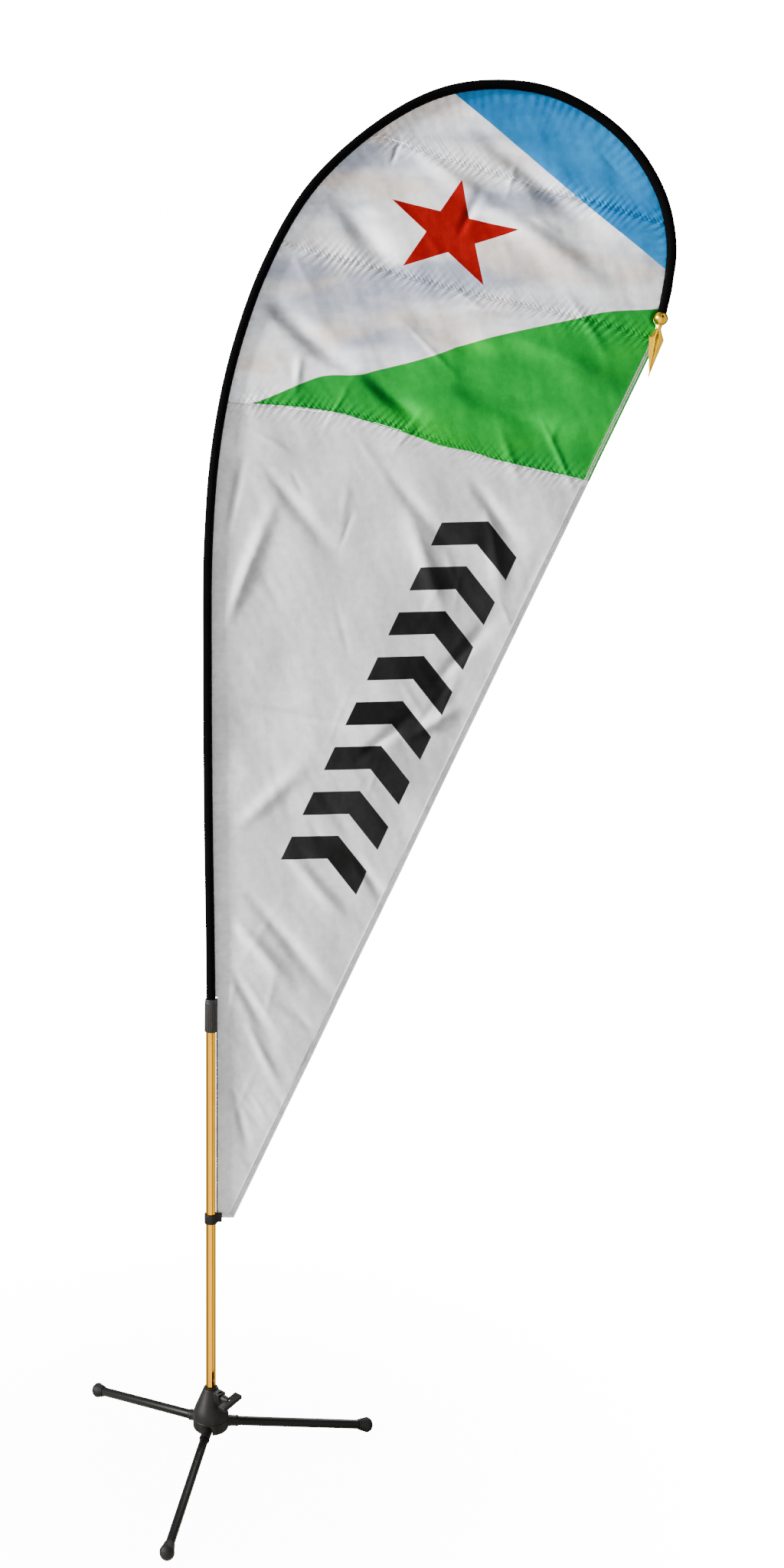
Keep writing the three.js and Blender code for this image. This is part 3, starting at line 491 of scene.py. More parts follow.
def makeRing():
    bottom, top, corner, radius = hub["ringBottom"], hub["ringTop"], hub["ringCorner"], hub["radius"]
    bend = [(radius - corner * (1 - math.sin(math.radians(a))), bottom + corner * (1 - math.cos(math.radians(a))))
            for a in range(0, 91, 9)]
    outline = [(0, bottom), *bend, (radius, top - 0.8), (radius - 0.7, top), (hub["bore"], top),
               (hub["bore"], bottom + 3), (0, bottom + 3)]
    ring = turnedShape("hub_ring", outline, 96)
    slot, groove = hub["slot"], hub["pinRadius"]
    inLeg = Matrix.Translation((pivotRadius * mm, 0, pivotHeight * mm))
    slope = Matrix.Rotation(math.radians(hub["legSlope"]), 4, "Y")
    # Each cut is a hair off its neighbours, so that no two faces lie in one plane
    side, wide, axle = groove - 0.06, slot + 0.13, 16.6
    for place in legPlaces:
        tools = [boxShape("below", (hub["core"] + 0.07, -slot, bottom - 2), (radius + 6, slot, pivotHeight - 0.31)),
                 boxShape("pocket", (hub["core"] + 0.02, 0.06 - slot, bottom - 1),
                          (pivotRadius + 6, slot - 0.06, top + 1)),
                 boxShape("groove", (pivotRadius - side, 0.05 - axle, pivotHeight + 0.2),
                          (pivotRadius + side, axle - 0.05, top + 2))]
        arch = moved(rodShape("arch", wide, -2, 30, "X", 62), inLeg @ slope)
        seat = moved(rodShape("seat", groove, -axle, axle, "Y", 46), inLeg)
        cutAway(ring, *[moved(tool, besideLeg(place)) for tool in (*tools, arch, seat)])
        between = besideLeg(place) @ Matrix.Rotation(math.pi / 3, 4, "Z") @ Matrix.Translation(
            (hub["screwCircle"] * mm, 0, 0))
        cutAway(ring, *[moved(tool, between) for tool in (rodShape("well", 3.5, bottom - 1, bottom + 8),
                                                          rodShape("hole", 2, bottom, top + 1))])
    return fitPiece(ring, "base", satinPlastic, ["hub_lower_ring"])


def makeBush():
    outline = [(0, 69.5), (11.3, 69.5), (11.3, 154), (11.7, 154.3), (14, 154.3), (14.45, 153.9), (14.45, 152.7),
               (14.1, 152.3), (12.65, 152.3), (12.65, 70), (12.2, 67.3), (0, 67.3)]
    bush = turnedShape("pole_seat", outline, 72)
    slit = boxShape("slit", (0, -0.8, 82), (16, 0.8, 156))
    cutAway(bush, moved(slit, Matrix.Rotation(boltTurn + math.pi / 2, 4, "Z")))
    return fitPiece(bush, "bush", satinPlastic, ["pole_bush"])


makeHousing()
makeRing()
makeBush()
print("hub made")

# Legs, modelled once along +X from the hinge pin and copied round
leg = {"tubeRadius": 9.25, "tubeWall": 1.2, "tubeStart": 8.3, "pinHole": 3.3, "footCentre": 340.54,
       "footRadius": 15.5}


def makeLegs():
    centre, tube = leg["footCentre"], leg["tubeRadius"]
    lean = Matrix.Rotation(math.radians(hub["legSlope"]), 4, "Y") @ Matrix.Rotation(math.pi / 2, 4, "Y")
    rootOutline = [(0, -11.5), (4.4, -10.62), (8.13, -8.13), (10.62, -4.4), (11.5, 0), (11.45, 8), (11.1, 16),
                   (10.6, 26), (10.45, 29.6), (10.7, 30), (11.2, 30.6), (11.35, 31.2), (11.35, 33), (11, 33.8),
                   (10.4, 34), (0, 34)]
    root = moved(turnedShape("root", rootOutline, 56), lean)
    joinOn(root, boxShape("heel", (-11.5, -7.5, -1), (0, 7.5, 5.6), 0.6, 2))
    socket = moved(rodShape("socket", tube + 0.3, 8, 36), lean)
    cutAway(root, socket, rodShape("pinHole", leg["pinHole"], -13, 13, "Y"))
    softenEdges(root, 0.3, 2, 50)

    inner, start, end = tube - leg["tubeWall"], leg["tubeStart"], centre - 2.3
    tubeOutline = rounded([(tube, start), (tube, end), (inner, end), (inner, start)], 0.5, True)
    shaft = moved(turnedShape("shaft", tubeOutline, 56), lean)

    neck = centre - 19
    ball = leg["footRadius"]
    bell = [(9.55, centre - 2), (9.55, neck + 0.5), (9.9, neck), (10.6, neck + 0.1), (11, neck + 0.7),
            (11.1, neck + 4), (10.7, neck + 4.5), (10.75, neck + 5.1), (11.9, neck + 5.5), (12.3, neck + 6.3),
            (12.7, neck + 9),
            (13.5, neck + 12.5), (14.5, neck + 16), (15.2, neck + 18.4), (ball, neck + 20.5)]
    for turn in range(10, 90, 8):
        ringed = 0.35 if turn in (34, 58) else 0
        bell.append(((ball - ringed) * math.cos(math.radians(turn)),
                     centre + (ball - ringed) * math.sin(math.radians(turn))))
    outline = [(0, centre - 2), *bell, (0, centre + ball)]
    foot = moved(turnedShape("foot", outline, 64), lean)

    for number, place in enumerate(legPlaces, 1):
        pieces = [(root, f"hinge_root_{number}", "black_plastic", satinPlastic, f"leg_root_{number}"),
                  (shaft, f"steel_tube_{number}", "black_steel", powderCoat, f"leg_tube_{number}"),
                  (foot, f"rubber_foot_{number}", "rubber", footRubber, f"leg_foot_{number}")]
        for model, name, slot, finish, cadNode in pieces:
            twin = moved(copyOf(model, name), place)
            if model is foot:
                bpy.ops.object.mode_set(mode="EDIT")
                bpy.ops.mesh.select_all(action="SELECT")
                bpy.ops.mesh.bisect(plane_co=(0, 0, 0), plane_no=(0, 0, 1), use_fill=True, clear_inner=True)
                bpy.ops.object.mode_set(mode="OBJECT")
            fitPiece(twin, f"leg_{number}", finish, [cadNode])
    for model in (root, shaft, foot):
        bpy.data.objects.remove(model, do_unlink=True)


makeLegs()
print("legs made")

# Clamp knob: a dished bar with a round neck
knob = {"reach": 57, "depth": 20, "length": 56, "thickness": 9, "tilt": 10, "neck": 8, "dish": 1.1, "bore": 4.3}


def makeKnob():
    near = hub["bossReach"] + 0.6
    low = (-knob["depth"] / 2, -knob["length"] / 2, -knob["thickness"] / 2)
    bar = boxShape("clamp_knob", low, [-c for c in low])
    bpy.ops.object.mode_set(mode="EDIT")
    mesh = bmesh.from_edit_mesh(bar.data)
    for edge in mesh.edges:
        edge.select = abs(edge.verts[0].co.z - edge.verts[1].co.z) > 0.001
    mesh.select_flush_mode()
    bpy.ops.mesh.bevel(offset=7 * mm, segments=7, profile=0.5, affect="EDGES")
    bpy.ops.mesh.select_mode(type="FACE")
    for side in (-1, 1):
        mesh = bmesh.from_edit_mesh(bar.data)
        for face in mesh.faces:
            face.select = face.normal.z * side > 0.9
        mesh.select_flush_mode()
        bpy.ops.mesh.inset(thickness=3.2 * mm)
        bpy.ops.mesh.inset(thickness=1.6 * mm, depth=-knob["dish"] * mm)
    bpy.ops.object.mode_set(mode="OBJECT")
    softenEdges(bar, 1.8, 4, 55)
    moved(bar, Matrix.Translation((knob["reach"] * mm, 0, 0)) @ Matrix.Rotation(math.radians(knob["tilt"]), 4, "X"))
    radius, bore = knob["neck"], knob["bore"]
    outline = [(bore, near), (radius - 0.8, near), (radius, near + 0.8), (radius, near + 10),
               (radius - 0.7, near + 13), (radius - 1, near + 18), (bore + 0.7, near + 18), (bore, near + 18)]
    neck = turnedShape("neck", outline, 48)
    joinOn(bar, moved(neck, Matrix.Rotation(math.pi / 2, 4, "Y")))
    cutAway(bar, rodShape("shankHole", bore, near - 1, knob["reach"] + 0.3, "X"))
    moved(bar, boltPlace)
    return fitPiece(bar, "wing_bolt", satinPlastic, ["wing_bolt_knob"])


makeKnob()
print("knob made")

# Gold pole and the twist collar at its top
pole = {"radius": 11, "wall": 1.2, "bottom": 72.6, "top": 980}
collar = {"bottom": 926, "top": 997, "radius": 14.35, "topRadius": 13.5, "ribs": 20, "groove": 1.0, "bore": 11.3}


def makePole():
    inner = pole["radius"] - pole["wall"]
    bottom = max(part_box("lower_pole")[0].z / mm, pole["bottom"])
    outline = rounded([(pole["radius"], bottom), (pole["radius"], pole["top"]), (inner, pole["top"]),
                       (inner, bottom)], 0.4, True)
    return fitPiece(turnedShape("gold_pole", outline, 96), "pole", goldTube, ["lower_pole"])


def makeCollar():
    sides = collar["ribs"] * 6
    bottom, top, wide, narrow = collar["bottom"], collar["top"], collar["radius"], collar["topRadius"]
    outline = [(11.3, bottom + 0.3), (12.6, bottom), (13.6, bottom + 0.6), (wide - 0.1, bottom + 2.2),
               (wide - 0.05, bottom + 5), (wide - 0.3, bottom + 24), (wide - 0.55, bottom + 44),
               (narrow + 0.1, bottom + 61), (narrow - 0.1, bottom + 64.5), (narrow - 0.75, bottom + 65.4),
               (narrow - 0.75, bottom + 66.3), (narrow - 0.25, bottom + 67.1), (narrow - 0.3, top - 1.2),
               (narrow - 1.1, top), (8.7, top), (8.3, top - 0.4), (8.3, 983.6), (11.3, 983.6)]
    piece = turnedShape("ribbed_collar", outline, sides)
    bpy.ops.object.mode_set(mode="EDIT")
    bpy.ops.mesh.select_mode(type="VERT")
    low, high = (bottom + 1.8) * mm, (bottom + 63) * mm
    pitch = 2 * math.pi / collar["ribs"]

    def inGroove(co):
        share = (math.atan2(co.y, co.x) / pitch + 0.001) % 1
        return low < co.z < high and math.hypot(co.x, co.y) > 13 * mm and share < 0.34

    selectOnly(inGroove)
    scale = 1 - collar["groove"] / wide
    bpy.ops.transform.resize(value=(scale, scale, 1), center_override=(0, 0, bottom * mm))
    bpy.ops.object.mode_set(mode="OBJECT")
    softenEdges(piece, 0.12, 1, 30)
    return fitPiece(piece, "collar", ribbedPlastic, ["twist_collar"], 28)


makePole()
makeCollar()
print("pole and collar made")

# Mast line: the centre of the sleeve and of the bowed rod
mast = {
    "foot": 1003, "top": 2988, "reach": 1003, "rodFoot": 600, "rodJoint": 700,
    "shape": [(0, 0), (-0.001, 0.05), (-0.0055, 0.2), (-0.0075, 0.36), (-0.0055, 0.495), (0.0115, 0.604),
              (0.052, 0.705), (0.124, 0.806), (0.223, 0.89), (0.37, 0.957), (0.5, 0.991), (0.622, 1),
              (0.74, 0.9915), (0.855, 0.96), (0.93, 0.922), (0.982, 0.873), (1, 0.823), (0.993, 0.783),
              (0.9765, 0.743)],
}


def onFlag(across, up):
    return Vector((across * mast["reach"], mast["foot"] + up * (mast["top"] - mast["foot"]))) * mm


def smoothLine(corners, steps=24):
    ends = [corners[0] * 2 - corners[1], *corners, corners[-1] * 2 - corners[-2]]
    line = []
    for before, start, end, after in zip(ends, ends[1:], ends[2:], ends[3:]):
        first, middle, last = [math.sqrt((b - a).length) for a, b in ((before, start), (start, end), (end, after))]
        leave = ((start - before) / first - (end - before) / (first + middle) + (end - start) / middle) * middle
        arrive = ((end - start) / middle - (after - start) / (middle + last) + (after - end) / last) * middle
        for step in range(steps):
            t = step / steps
            line.append(start + leave * t + ((end - start) * 3 - leave * 2 - arrive) * t * t
                        + ((start - end) * 2 + leave + arrive) * t ** 3)
    return line + [corners[-1]]


def evenly(line, step):
    spaced = [line[0]]
    left = step
    for start, end in zip(line, line[1:]):
        length = (end - start).length
        while left <= length:
            spaced.append(start.lerp(end, left / length))
            left += step
        left -= length
    if (spaced[-1] - line[-1]).length > step * 0.3:
        spaced.append(line[-1])
    return spaced


def searchTree(spots):
    tree = kdtree.KDTree(len(spots))
    for i, spot in enumerate(spots):
        tree.insert((spot[0], 0, spot[1]), i)
    tree.balance()
    return tree


bowLine = evenly(smoothLine([onFlag(*share) for share in mast["shape"]]), 4 * mm)
bowTree = searchTree(bowLine)
finialAim = (bowLine[-1] - bowLine[-3]).normalized()
finialPlace = Matrix.Translation((bowLine[-1].x, 0, bowLine[-1].y)) @ Matrix.Rotation(
    math.atan2(finialAim.x, finialAim.y), 4, "Y")


def walled(piece, wall, side):
    modifier = piece.modifiers.new("wall", "SOLIDIFY")
    modifier.thickness, modifier.offset = wall * mm, side
    bpy.ops.object.modifier_apply(modifier=modifier.name)
    return piece


def sweptShape(name, line, outer, wall, sides):
    # Rings of a tube along a line in the flag's plane, with its wall inwards
    verts = []
    for i, spot in enumerate(line):
        ahead = (line[min(i + 1, len(line) - 1)] - line[max(i - 1, 0)]).normalized()
        for k in range(sides):
            turn = 2 * math.pi * k / sides
            radius = outer(i, turn) if callable(outer) else outer
            side = math.cos(turn) * radius
            verts.append((spot.x + ahead.y * side, math.sin(turn) * radius, spot.y - ahead.x * side))
    piece = codedShape(name, verts, skinFaces(len(line), sides))
    return walled(piece, wall, -1)


def makeLowerRod():
    straight = [Vector((0, mast["rodFoot"] * mm + i * 20 * mm)) for i in range(20)]
    bent = [spot for i, spot in enumerate(bowLine) if i * 4 <= mast["rodJoint"]]
    line = [spot for spot in straight if spot.y < 0.99] + bent[::5] + ([bent[-1]] if (len(bent) - 1) % 5 else [])
    rodPiece = sweptShape("mast_tube", line, 8 * mm, 1.3, 48)
    return fitPiece(rodPiece, "mast", darkTube, ["mast_lower_rod"])


makeLowerRod()
print("mast tube made")

# Finial: a ball with a grub screw, and a flat-faced spear
finial = {"ball": 15.5, "neck": 6.6, "shoulder": 45, "shoulderHalf": 16.6, "length": 133, "half": 4.0}


def makeBall():
    ball, neck = finial["ball"], finial["neck"]
    arc = [(ball * math.cos(math.radians(a)), ball * math.sin(math.radians(a))) for a in range(-84, 64, 6)]
    outline = [(0, 0.3), (5.3, 0.3), (5.3, -15.1), (5.6, -15.45), *[c for c in arc if c[0] > 6.4 and c[1] < 13.6],
               (7.4, 13.62), (6.95, 13.5), (6.9, 12.9), (3.8, 12.9), (3.8, 7.4), (0, 7.4)]
    piece = turnedShape("gold_ball", outline, 72)
    flat = boxShape("flat", (-16, -17, -16), (16, -14.75, 16))
    sink = turnedShape("sink", [(0, 9), (2.6, 9), (2.6, 12.6), (4.4, 13.3), (4.4, 13.9), (5.3, 15.2), (5.3, 18),
                                (0, 18)], 48)
    moved(sink, Matrix.Translation((0, 0, -4 * mm)) @ Matrix.Rotation(math.pi / 2, 4, "X"))
    cutAway(piece, flat, sink)
    softenEdges(piece, 0.35, 2, 40)
    return fitPiece(moved(piece, finialPlace), "mast", goldCast, ["finial_ball"], 30)


def makeSpear():
    clearSelection()
    neck, half, wide = finial["neck"], finial["half"], finial["shoulderHalf"]
    base = math.sqrt(finial["ball"] ** 2 - neck ** 2) + 0.3
    # Each station: height, half width, half depth, width of the raised middle face
    stations = [(base, neck, neck, 1.0), (base + 2.2, neck - 0.5, neck - 0.5, 1.0),
                (base + 8, neck - 0.9, neck - 0.9, 0.9), (24.5, neck - 0.2, 5.6, 0.75), (29, 8.0, 5.2, 0.62),
                (34, 10.6, 4.8, 0.5), (39, 13.4, 4.5, 0.42),
                (43, 15.8, 4.2, 0.37), (finial["shoulder"], wide, 4.0, 0.35), (47, 16.3, 3.9, 0.34),
                (70, 11.75, 3.4, 0.33), (95, 7.0, 2.8, 0.33), (118, 2.75, 2.0, 0.4), (129, 1.0, 1.0, 0.6)]
    count = 24
    bpy.ops.mesh.primitive_circle_add(vertices=count, radius=1, location=(0, 0, 0))
    piece = bpy.context.object
    piece.name = "gold_spear"

    def shapeRing(verts, station):
        height, across, deep, middle = station
        for k, vert in enumerate(verts):
            turn = 2 * math.pi * (k + 0.5) / count
            c, s = math.cos(turn), math.sin(turn)
            blade = remapShare(height, 22, 36)
            roundX, roundY = across * c, deep * s
            # Facets: a flat raised middle, slopes down to thin edges
            edge = abs(c)
            lift = min(1, (1 - edge) / (1 - middle)) if edge > middle else 1
            flatX = across * c
            flatY = math.copysign(deep * (0.16 + 0.84 * lift), s)
            vert.co = Vector((roundX + (flatX - roundX) * blade, roundY + (flatY - roundY) * blade, height)) * mm

    bpy.ops.object.mode_set(mode="EDIT")
    bpy.ops.mesh.select_all(action="SELECT")
    mesh = bmesh.from_edit_mesh(piece.data)
    mesh.verts.ensure_lookup_table()
    ring = sorted(mesh.verts, key=lambda v: math.atan2(v.co.y, v.co.x) % (2 * math.pi))
    shapeRing(ring, stations[0])
    bmesh.update_edit_mesh(piece.data)
    for station in stations[1:]:
        bpy.ops.mesh.extrude_edges_move(TRANSFORM_OT_translate={"value": (0, 0, 0.0001)})
        mesh = bmesh.from_edit_mesh(piece.data)
        ring = sorted([v for v in mesh.verts if v.select], key=lambda v: math.atan2(v.co.y, v.co.x) % (2 * math.pi))
        shapeRing(ring, station)
        bmesh.update_edit_mesh(piece.data)
    bpy.ops.mesh.extrude_edges_move(TRANSFORM_OT_translate={"value": (0, 0, (finial["length"] - 129) * mm)})
    bpy.ops.mesh.merge(type="CENTER")
    bpy.ops.mesh.select_mode(type="VERT")
    selectOnly(lambda co: co.z < (base + 0.01) * mm)
    bpy.ops.mesh.edge_face_add()
    bpy.ops.mesh.inset(thickness=3.1 * mm)
    bpy.ops.mesh.extrude_region_move(TRANSFORM_OT_translate={"value": (0, 0, -6.5 * mm)})
    turnFacesOut()
    softenEdges(piece, 0.3, 2, 35)
    return fitPiece(moved(piece, finialPlace), "mast", goldCast, ["finial_spear"], 24)


def remapShare(value, low, high):
    share = min(1, max(0, (value - low) / (high - low)))
    return share * share * (3 - 2 * share)


makeBall()
makeSpear()
print("finial made")

# Corner clip: a split band round the pole with a lug that grips the flag's corner
clip = {"bottom": 510, "height": 20, "bore": 11.3, "wall": 3, "lug": 24, "lugHalf": 4, "plane": 5.6}


def makeClip():
    low, high = clip["bottom"], clip["bottom"] + clip["height"]
    outer = clip["bore"] + clip["wall"]
    band = turnedShape("flag_clip", rounded([(clip["bore"], low), (outer, low), (outer, high), (clip["bore"], high)],
                                            1.1, True), 72)
    lug = boxShape("lug", (clip["bore"] + 1, clip["plane"] - clip["lugHalf"], low),
                   (clip["lug"], clip["plane"] + clip["lugHalf"], high), 1.3, 3)
    joinOn(band, lug)
    middle = (pole["radius"] + clip["wall"] + clip["lug"]) / 2
    slot = boxShape("slot", (pole["radius"] + 0.3, clip["plane"] - 1.3, low + 1.5),
                    (clip["lug"] + 2, clip["plane"] + 1.3, high + 1))
    hole = moved(rodShape("hole", 2.3, clip["plane"] - 2.8, clip["plane"] + 5, "Y"),
                 Matrix.Translation((middle * mm, 0, (low + 14) * mm)))
    cutAway(band, rodShape("bore", clip["bore"], low - 1, high + 1, "Z", 72), slot, hole)
    softenEdges(band, 0.3, 2, 45)
    return fitPiece(band, "mast", satinPlastic, ["corner_clip"])


makeClip()
print("clip made")

# The printed cloth
cloth = {
    "step": 5.4, "fineBand": 34, "lap": 2.4, "edgeStep": 4.0, "thickness": 0.4, "plane": 5.6, "sleeveEdge": 8.0,
    "billow": 7.0, "depth": 1.9, "upperGain": 1.7, "wrinkles": 80, "seed": 11,
    "leechBottom": (50.3, 518.8),
    "seams": [
        [(0.25, 0.985), (0.35, 0.948), (0.6, 0.905), (0.82, 0.873), (1.1, 0.827)],
        [(0.05, 0.855), (0.17, 0.824), (0.32, 0.804), (0.57, 0.77), (0.81, 0.742), (1.1, 0.7)],
        [(-0.1, 0.66), (0.04, 0.652), (0.3, 0.638), (0.6, 0.591), (0.82, 0.566), (1.1, 0.54)],
    ],
    # Broad folds: start, end, height towards the back, half width
    "folds": [
        ((90, 2540), (330, 2350), 5.5, 20), ((320, 2365), (475, 2250), 4.5, 17), ((540, 2770), (925, 2500), -5, 26),
        ((560, 2905), (890, 2640), 5, 24), ((250, 2760), (430, 2560), 3.5, 24), ((420, 2860), (620, 2720), -3, 18),
        ((420, 2480), (640, 2400), 3, 20), ((640, 2440), (905, 2330), -4, 24), ((520, 2330), (800, 2220), 3.5, 22),
        ((20, 1780), (150, 2110), -4, 15), ((60, 1640), (330, 1580), 2.6, 9), ((90, 2190), (300, 1930), 3.2, 15),
        ((30, 1990), (75, 2200), 2.6, 9), ((420, 2080), (520, 1800), -4, 17), ((350, 2180), (560, 1940), 3.2, 16),
        ((560, 2140), (690, 1960), 4.0, 15), ((600, 2080), (640, 1850), -3.5, 14), ((470, 1660), (640, 1850), 3, 14),
        ((420, 1560), (560, 1640), -3.6, 13), ((300, 1500), (470, 1640), 3.0, 13), ((40, 1350), (230, 1530), -3, 18),
        ((40, 1180), (190, 1010), -4.5, 15), ((60, 1250), (300, 960), 4.0, 15), ((30, 1080), (150, 880), 3.6, 13),
        ((150, 1330), (330, 1130), -3.6, 14), ((70, 960), (160, 780), -2.6, 10), ((40, 820), (90, 640), 2.0, 9),
        ((300, 1330), (400, 1180), 3.0, 11),
    ],
}
seamLines = [evenly(smoothLine([onFlag(*share) for share in seam], 40), 2 * mm) for seam in cloth["seams"]]


def segmentShares(points, start, end):
    along = end - start
    length = np.linalg.norm(along)
    along = along / length
    offset = points - start
    return offset @ along / length, offset @ np.array([-along[1], along[0]])


def nearestOnLines(points, lines):
    best = np.full(len(points), 1e9)
    alongSeam, awaySeam = np.zeros(len(points)), np.zeros(len(points))
    shift = 0.0
    for line in lines:
        corners = np.array([tuple(spot) for spot in line])[::4]
        tree, spacing = searchTree(corners), 8 * mm
        for i, point in enumerate(points):
            place, index, distance = tree.find((point[0], 0, point[1]))
            if distance < best[i]:
                near = corners[index]
                onward = corners[min(index + 1, len(corners) - 1)] - corners[max(index - 1, 0)]
                onward = onward / np.linalg.norm(onward)
                gap = point - near
                best[i] = distance
                alongSeam[i] = shift + index * spacing + gap @ onward
                awaySeam[i] = gap @ np.array([-onward[1], onward[0]])
        shift += len(corners) * spacing
    return alongSeam, awaySeam


def clothLift(points):
    # How far the cloth stands behind its plane at each (x, z) point
    lift = np.zeros(len(points))
    folds = [(start, end, height, half) for start, end, height, half in cloth["folds"]]
    chance = random.Random(cloth["seed"])
    for i in range(cloth["wrinkles"]):
        z = chance.uniform(650, 2850)
        x = chance.uniform(0.02, 0.95) * min(1000, 60 + (z - 520) * 0.49)
        length = chance.uniform(70, 230)
        turn = math.radians(chance.choice([-52, -40, -68, -20, 62, 75]) + chance.uniform(-10, 10))
        end = (x + math.cos(turn) * length, z + math.sin(turn) * length)
        folds.append(((x, z), end, chance.uniform(0.3, 0.95) * chance.choice([-1, 1]), chance.uniform(5, 11)))
    for start, end, height, half in folds:
        height *= cloth["upperGain"] if start[1] > 2230 else 1
        share, away = segmentShares(points, np.array(start) * mm, np.array(end) * mm)
        taper = np.sin(np.clip(share, 0, 1) * math.pi) ** 1.5 * 1.15
        width = half * mm * (0.75 + 0.5 * np.clip(share, 0, 1))
        lift += height * mm * taper * np.exp(-(away / width) ** 2)
    broad = np.array([noise.noise((x * 4.2, 3.1, z * 3.0)) for x, z in points])
    middle = np.array([noise.noise((x * 15 + z * 7, 7.7, z * 6 - x * 3)) for x, z in points])
    fine = np.array([noise.noise((x * 48 + z * 20, 1.3, z * 20)) for x, z in points])
    lift = lift * cloth["depth"] + cloth["billow"] * mm * broad + 2.6 * mm * middle + 0.55 * mm * fine
    # Calm next to the sleeve, with little gathers along it
    sleeveAway = np.array([bowTree.find((x, 0, z))[2] for x, z in points])
    sleeveAlong = np.array([bowTree.find((x, 0, z))[1] * 4 * mm for x, z in points])
    edgeAway = np.where(points[:, 1] < 1.003, np.maximum(points[:, 0] - 0.006, 0), sleeveAway)
    calm = np.clip((edgeAway - 8 * mm) / (60 * mm), 0, 1)
    lift *= calm * calm * (3 - 2 * calm)
    gather = np.sin(sleeveAlong * 2 * math.pi / (23 * mm) + 2.2 * np.sin(sleeveAlong * 31)) * (points[:, 1] > 1.02)
    gather *= np.clip((sleeveAway - 9 * mm) / (6 * mm), 0, 1)
    lift += 0.8 * mm * gather * np.exp(-sleeveAway / (26 * mm))
    # Tucked back behind the finial's ball
    ballAway = np.hypot(points[:, 0] - bowLine[-1].x, points[:, 1] - bowLine[-1].y)
    lift += 4.5 * mm * np.clip(1 - (ballAway - 13 * mm) / (14 * mm), 0, 1) ** 2
    # Puckers drawn up by the seams
    along, away = nearestOnLines(points, seamLines)
    near = np.abs(away)
    pull = 0.8 + 0.6 * np.sin(along * 17) * np.sin(along * 6.1 + 1)
    slant = along - away * 0.55
    pucker = np.sin(slant * 2 * math.pi / (16 * mm) + 2.6 * np.sin(along * 37))
    lift += 0.62 * mm * pull * pucker * np.exp(-near / (17 * mm))
    lift += 0.34 * mm * np.sin(slant * 2 * math.pi / (10.5 * mm)) * np.exp(-near / (7 * mm))
    lift -= 1.0 * mm * np.exp(-(near / (7 * mm)) ** 2)
    # Nearly flat under the clip and along the bottom corner
    low = np.clip((points[:, 1] - 0.53) / 0.12, 0, 1)
    lift *= low * low * (3 - 2 * low)
    return lift, along, away


def frontOutline(name):
    shape = bmesh.new()
    shape.from_mesh(frame["nodes"][name].data)
    bmesh.ops.remove_doubles(shape, verts=shape.verts, dist=0.00002)
    shape.normal_update()
    front = {face for face in shape.faces if face.normal.y < -0.9}
    rim = [edge for edge in shape.edges if sum(face in front for face in edge.link_faces) == 1]
    pairs = [[Vector((vert.co.x, vert.co.z)) for vert in edge.verts] for edge in rim]
    shape.free()
    return pairs


def toSleeve(spot):
    place, index, distance = bowTree.find((spot.x, 0, spot.y))
    if spot.y < 0.9985 and spot.x < 0.022 and spot.y > 0.5195:
        return Vector((0.0142, spot.y))
    offset = (spot - bowLine[-1]) / mm
    beside = Vector((finialAim.y, -finialAim.x))
    down, side = offset.dot(finialAim), offset.dot(beside)
    if -22 < down < 44 and 0 < side < 30:
        inBall = math.sqrt(max(0, 13.6 ** 2 - down ** 2))
        blend = remapShare(down, 34, 44)
        side += (max(inBall, 5.2) - side) * (1 - blend) * remapShare(down, -22, -12)
        if down > -12:
            return bowLine[-1] + (finialAim * down + beside * side) * mm
    if distance > 14.5 * mm or index > len(bowLine) - 5:
        return spot
    middle = bowLine[index]
    ahead = (bowLine[index + 1] - bowLine[max(index - 1, 0)]).normalized()
    aside = Vector((ahead.y, -ahead.x))
    return middle + ahead * (spot - middle).dot(ahead) + aside * (cloth["sleeveEdge"] * mm)


def insideRim(points, corners, edges):
    inside = np.zeros(len(points), dtype=bool)
    for a, b in edges:
        (ax, az), (bx, bz) = corners[a], corners[b]
        if az != bz:
            crossed = (points[:, 1] > az) != (points[:, 1] > bz)
            inside ^= crossed & (points[:, 0] < ax + (points[:, 1] - az) * (bx - ax) / (bz - az))
    return inside


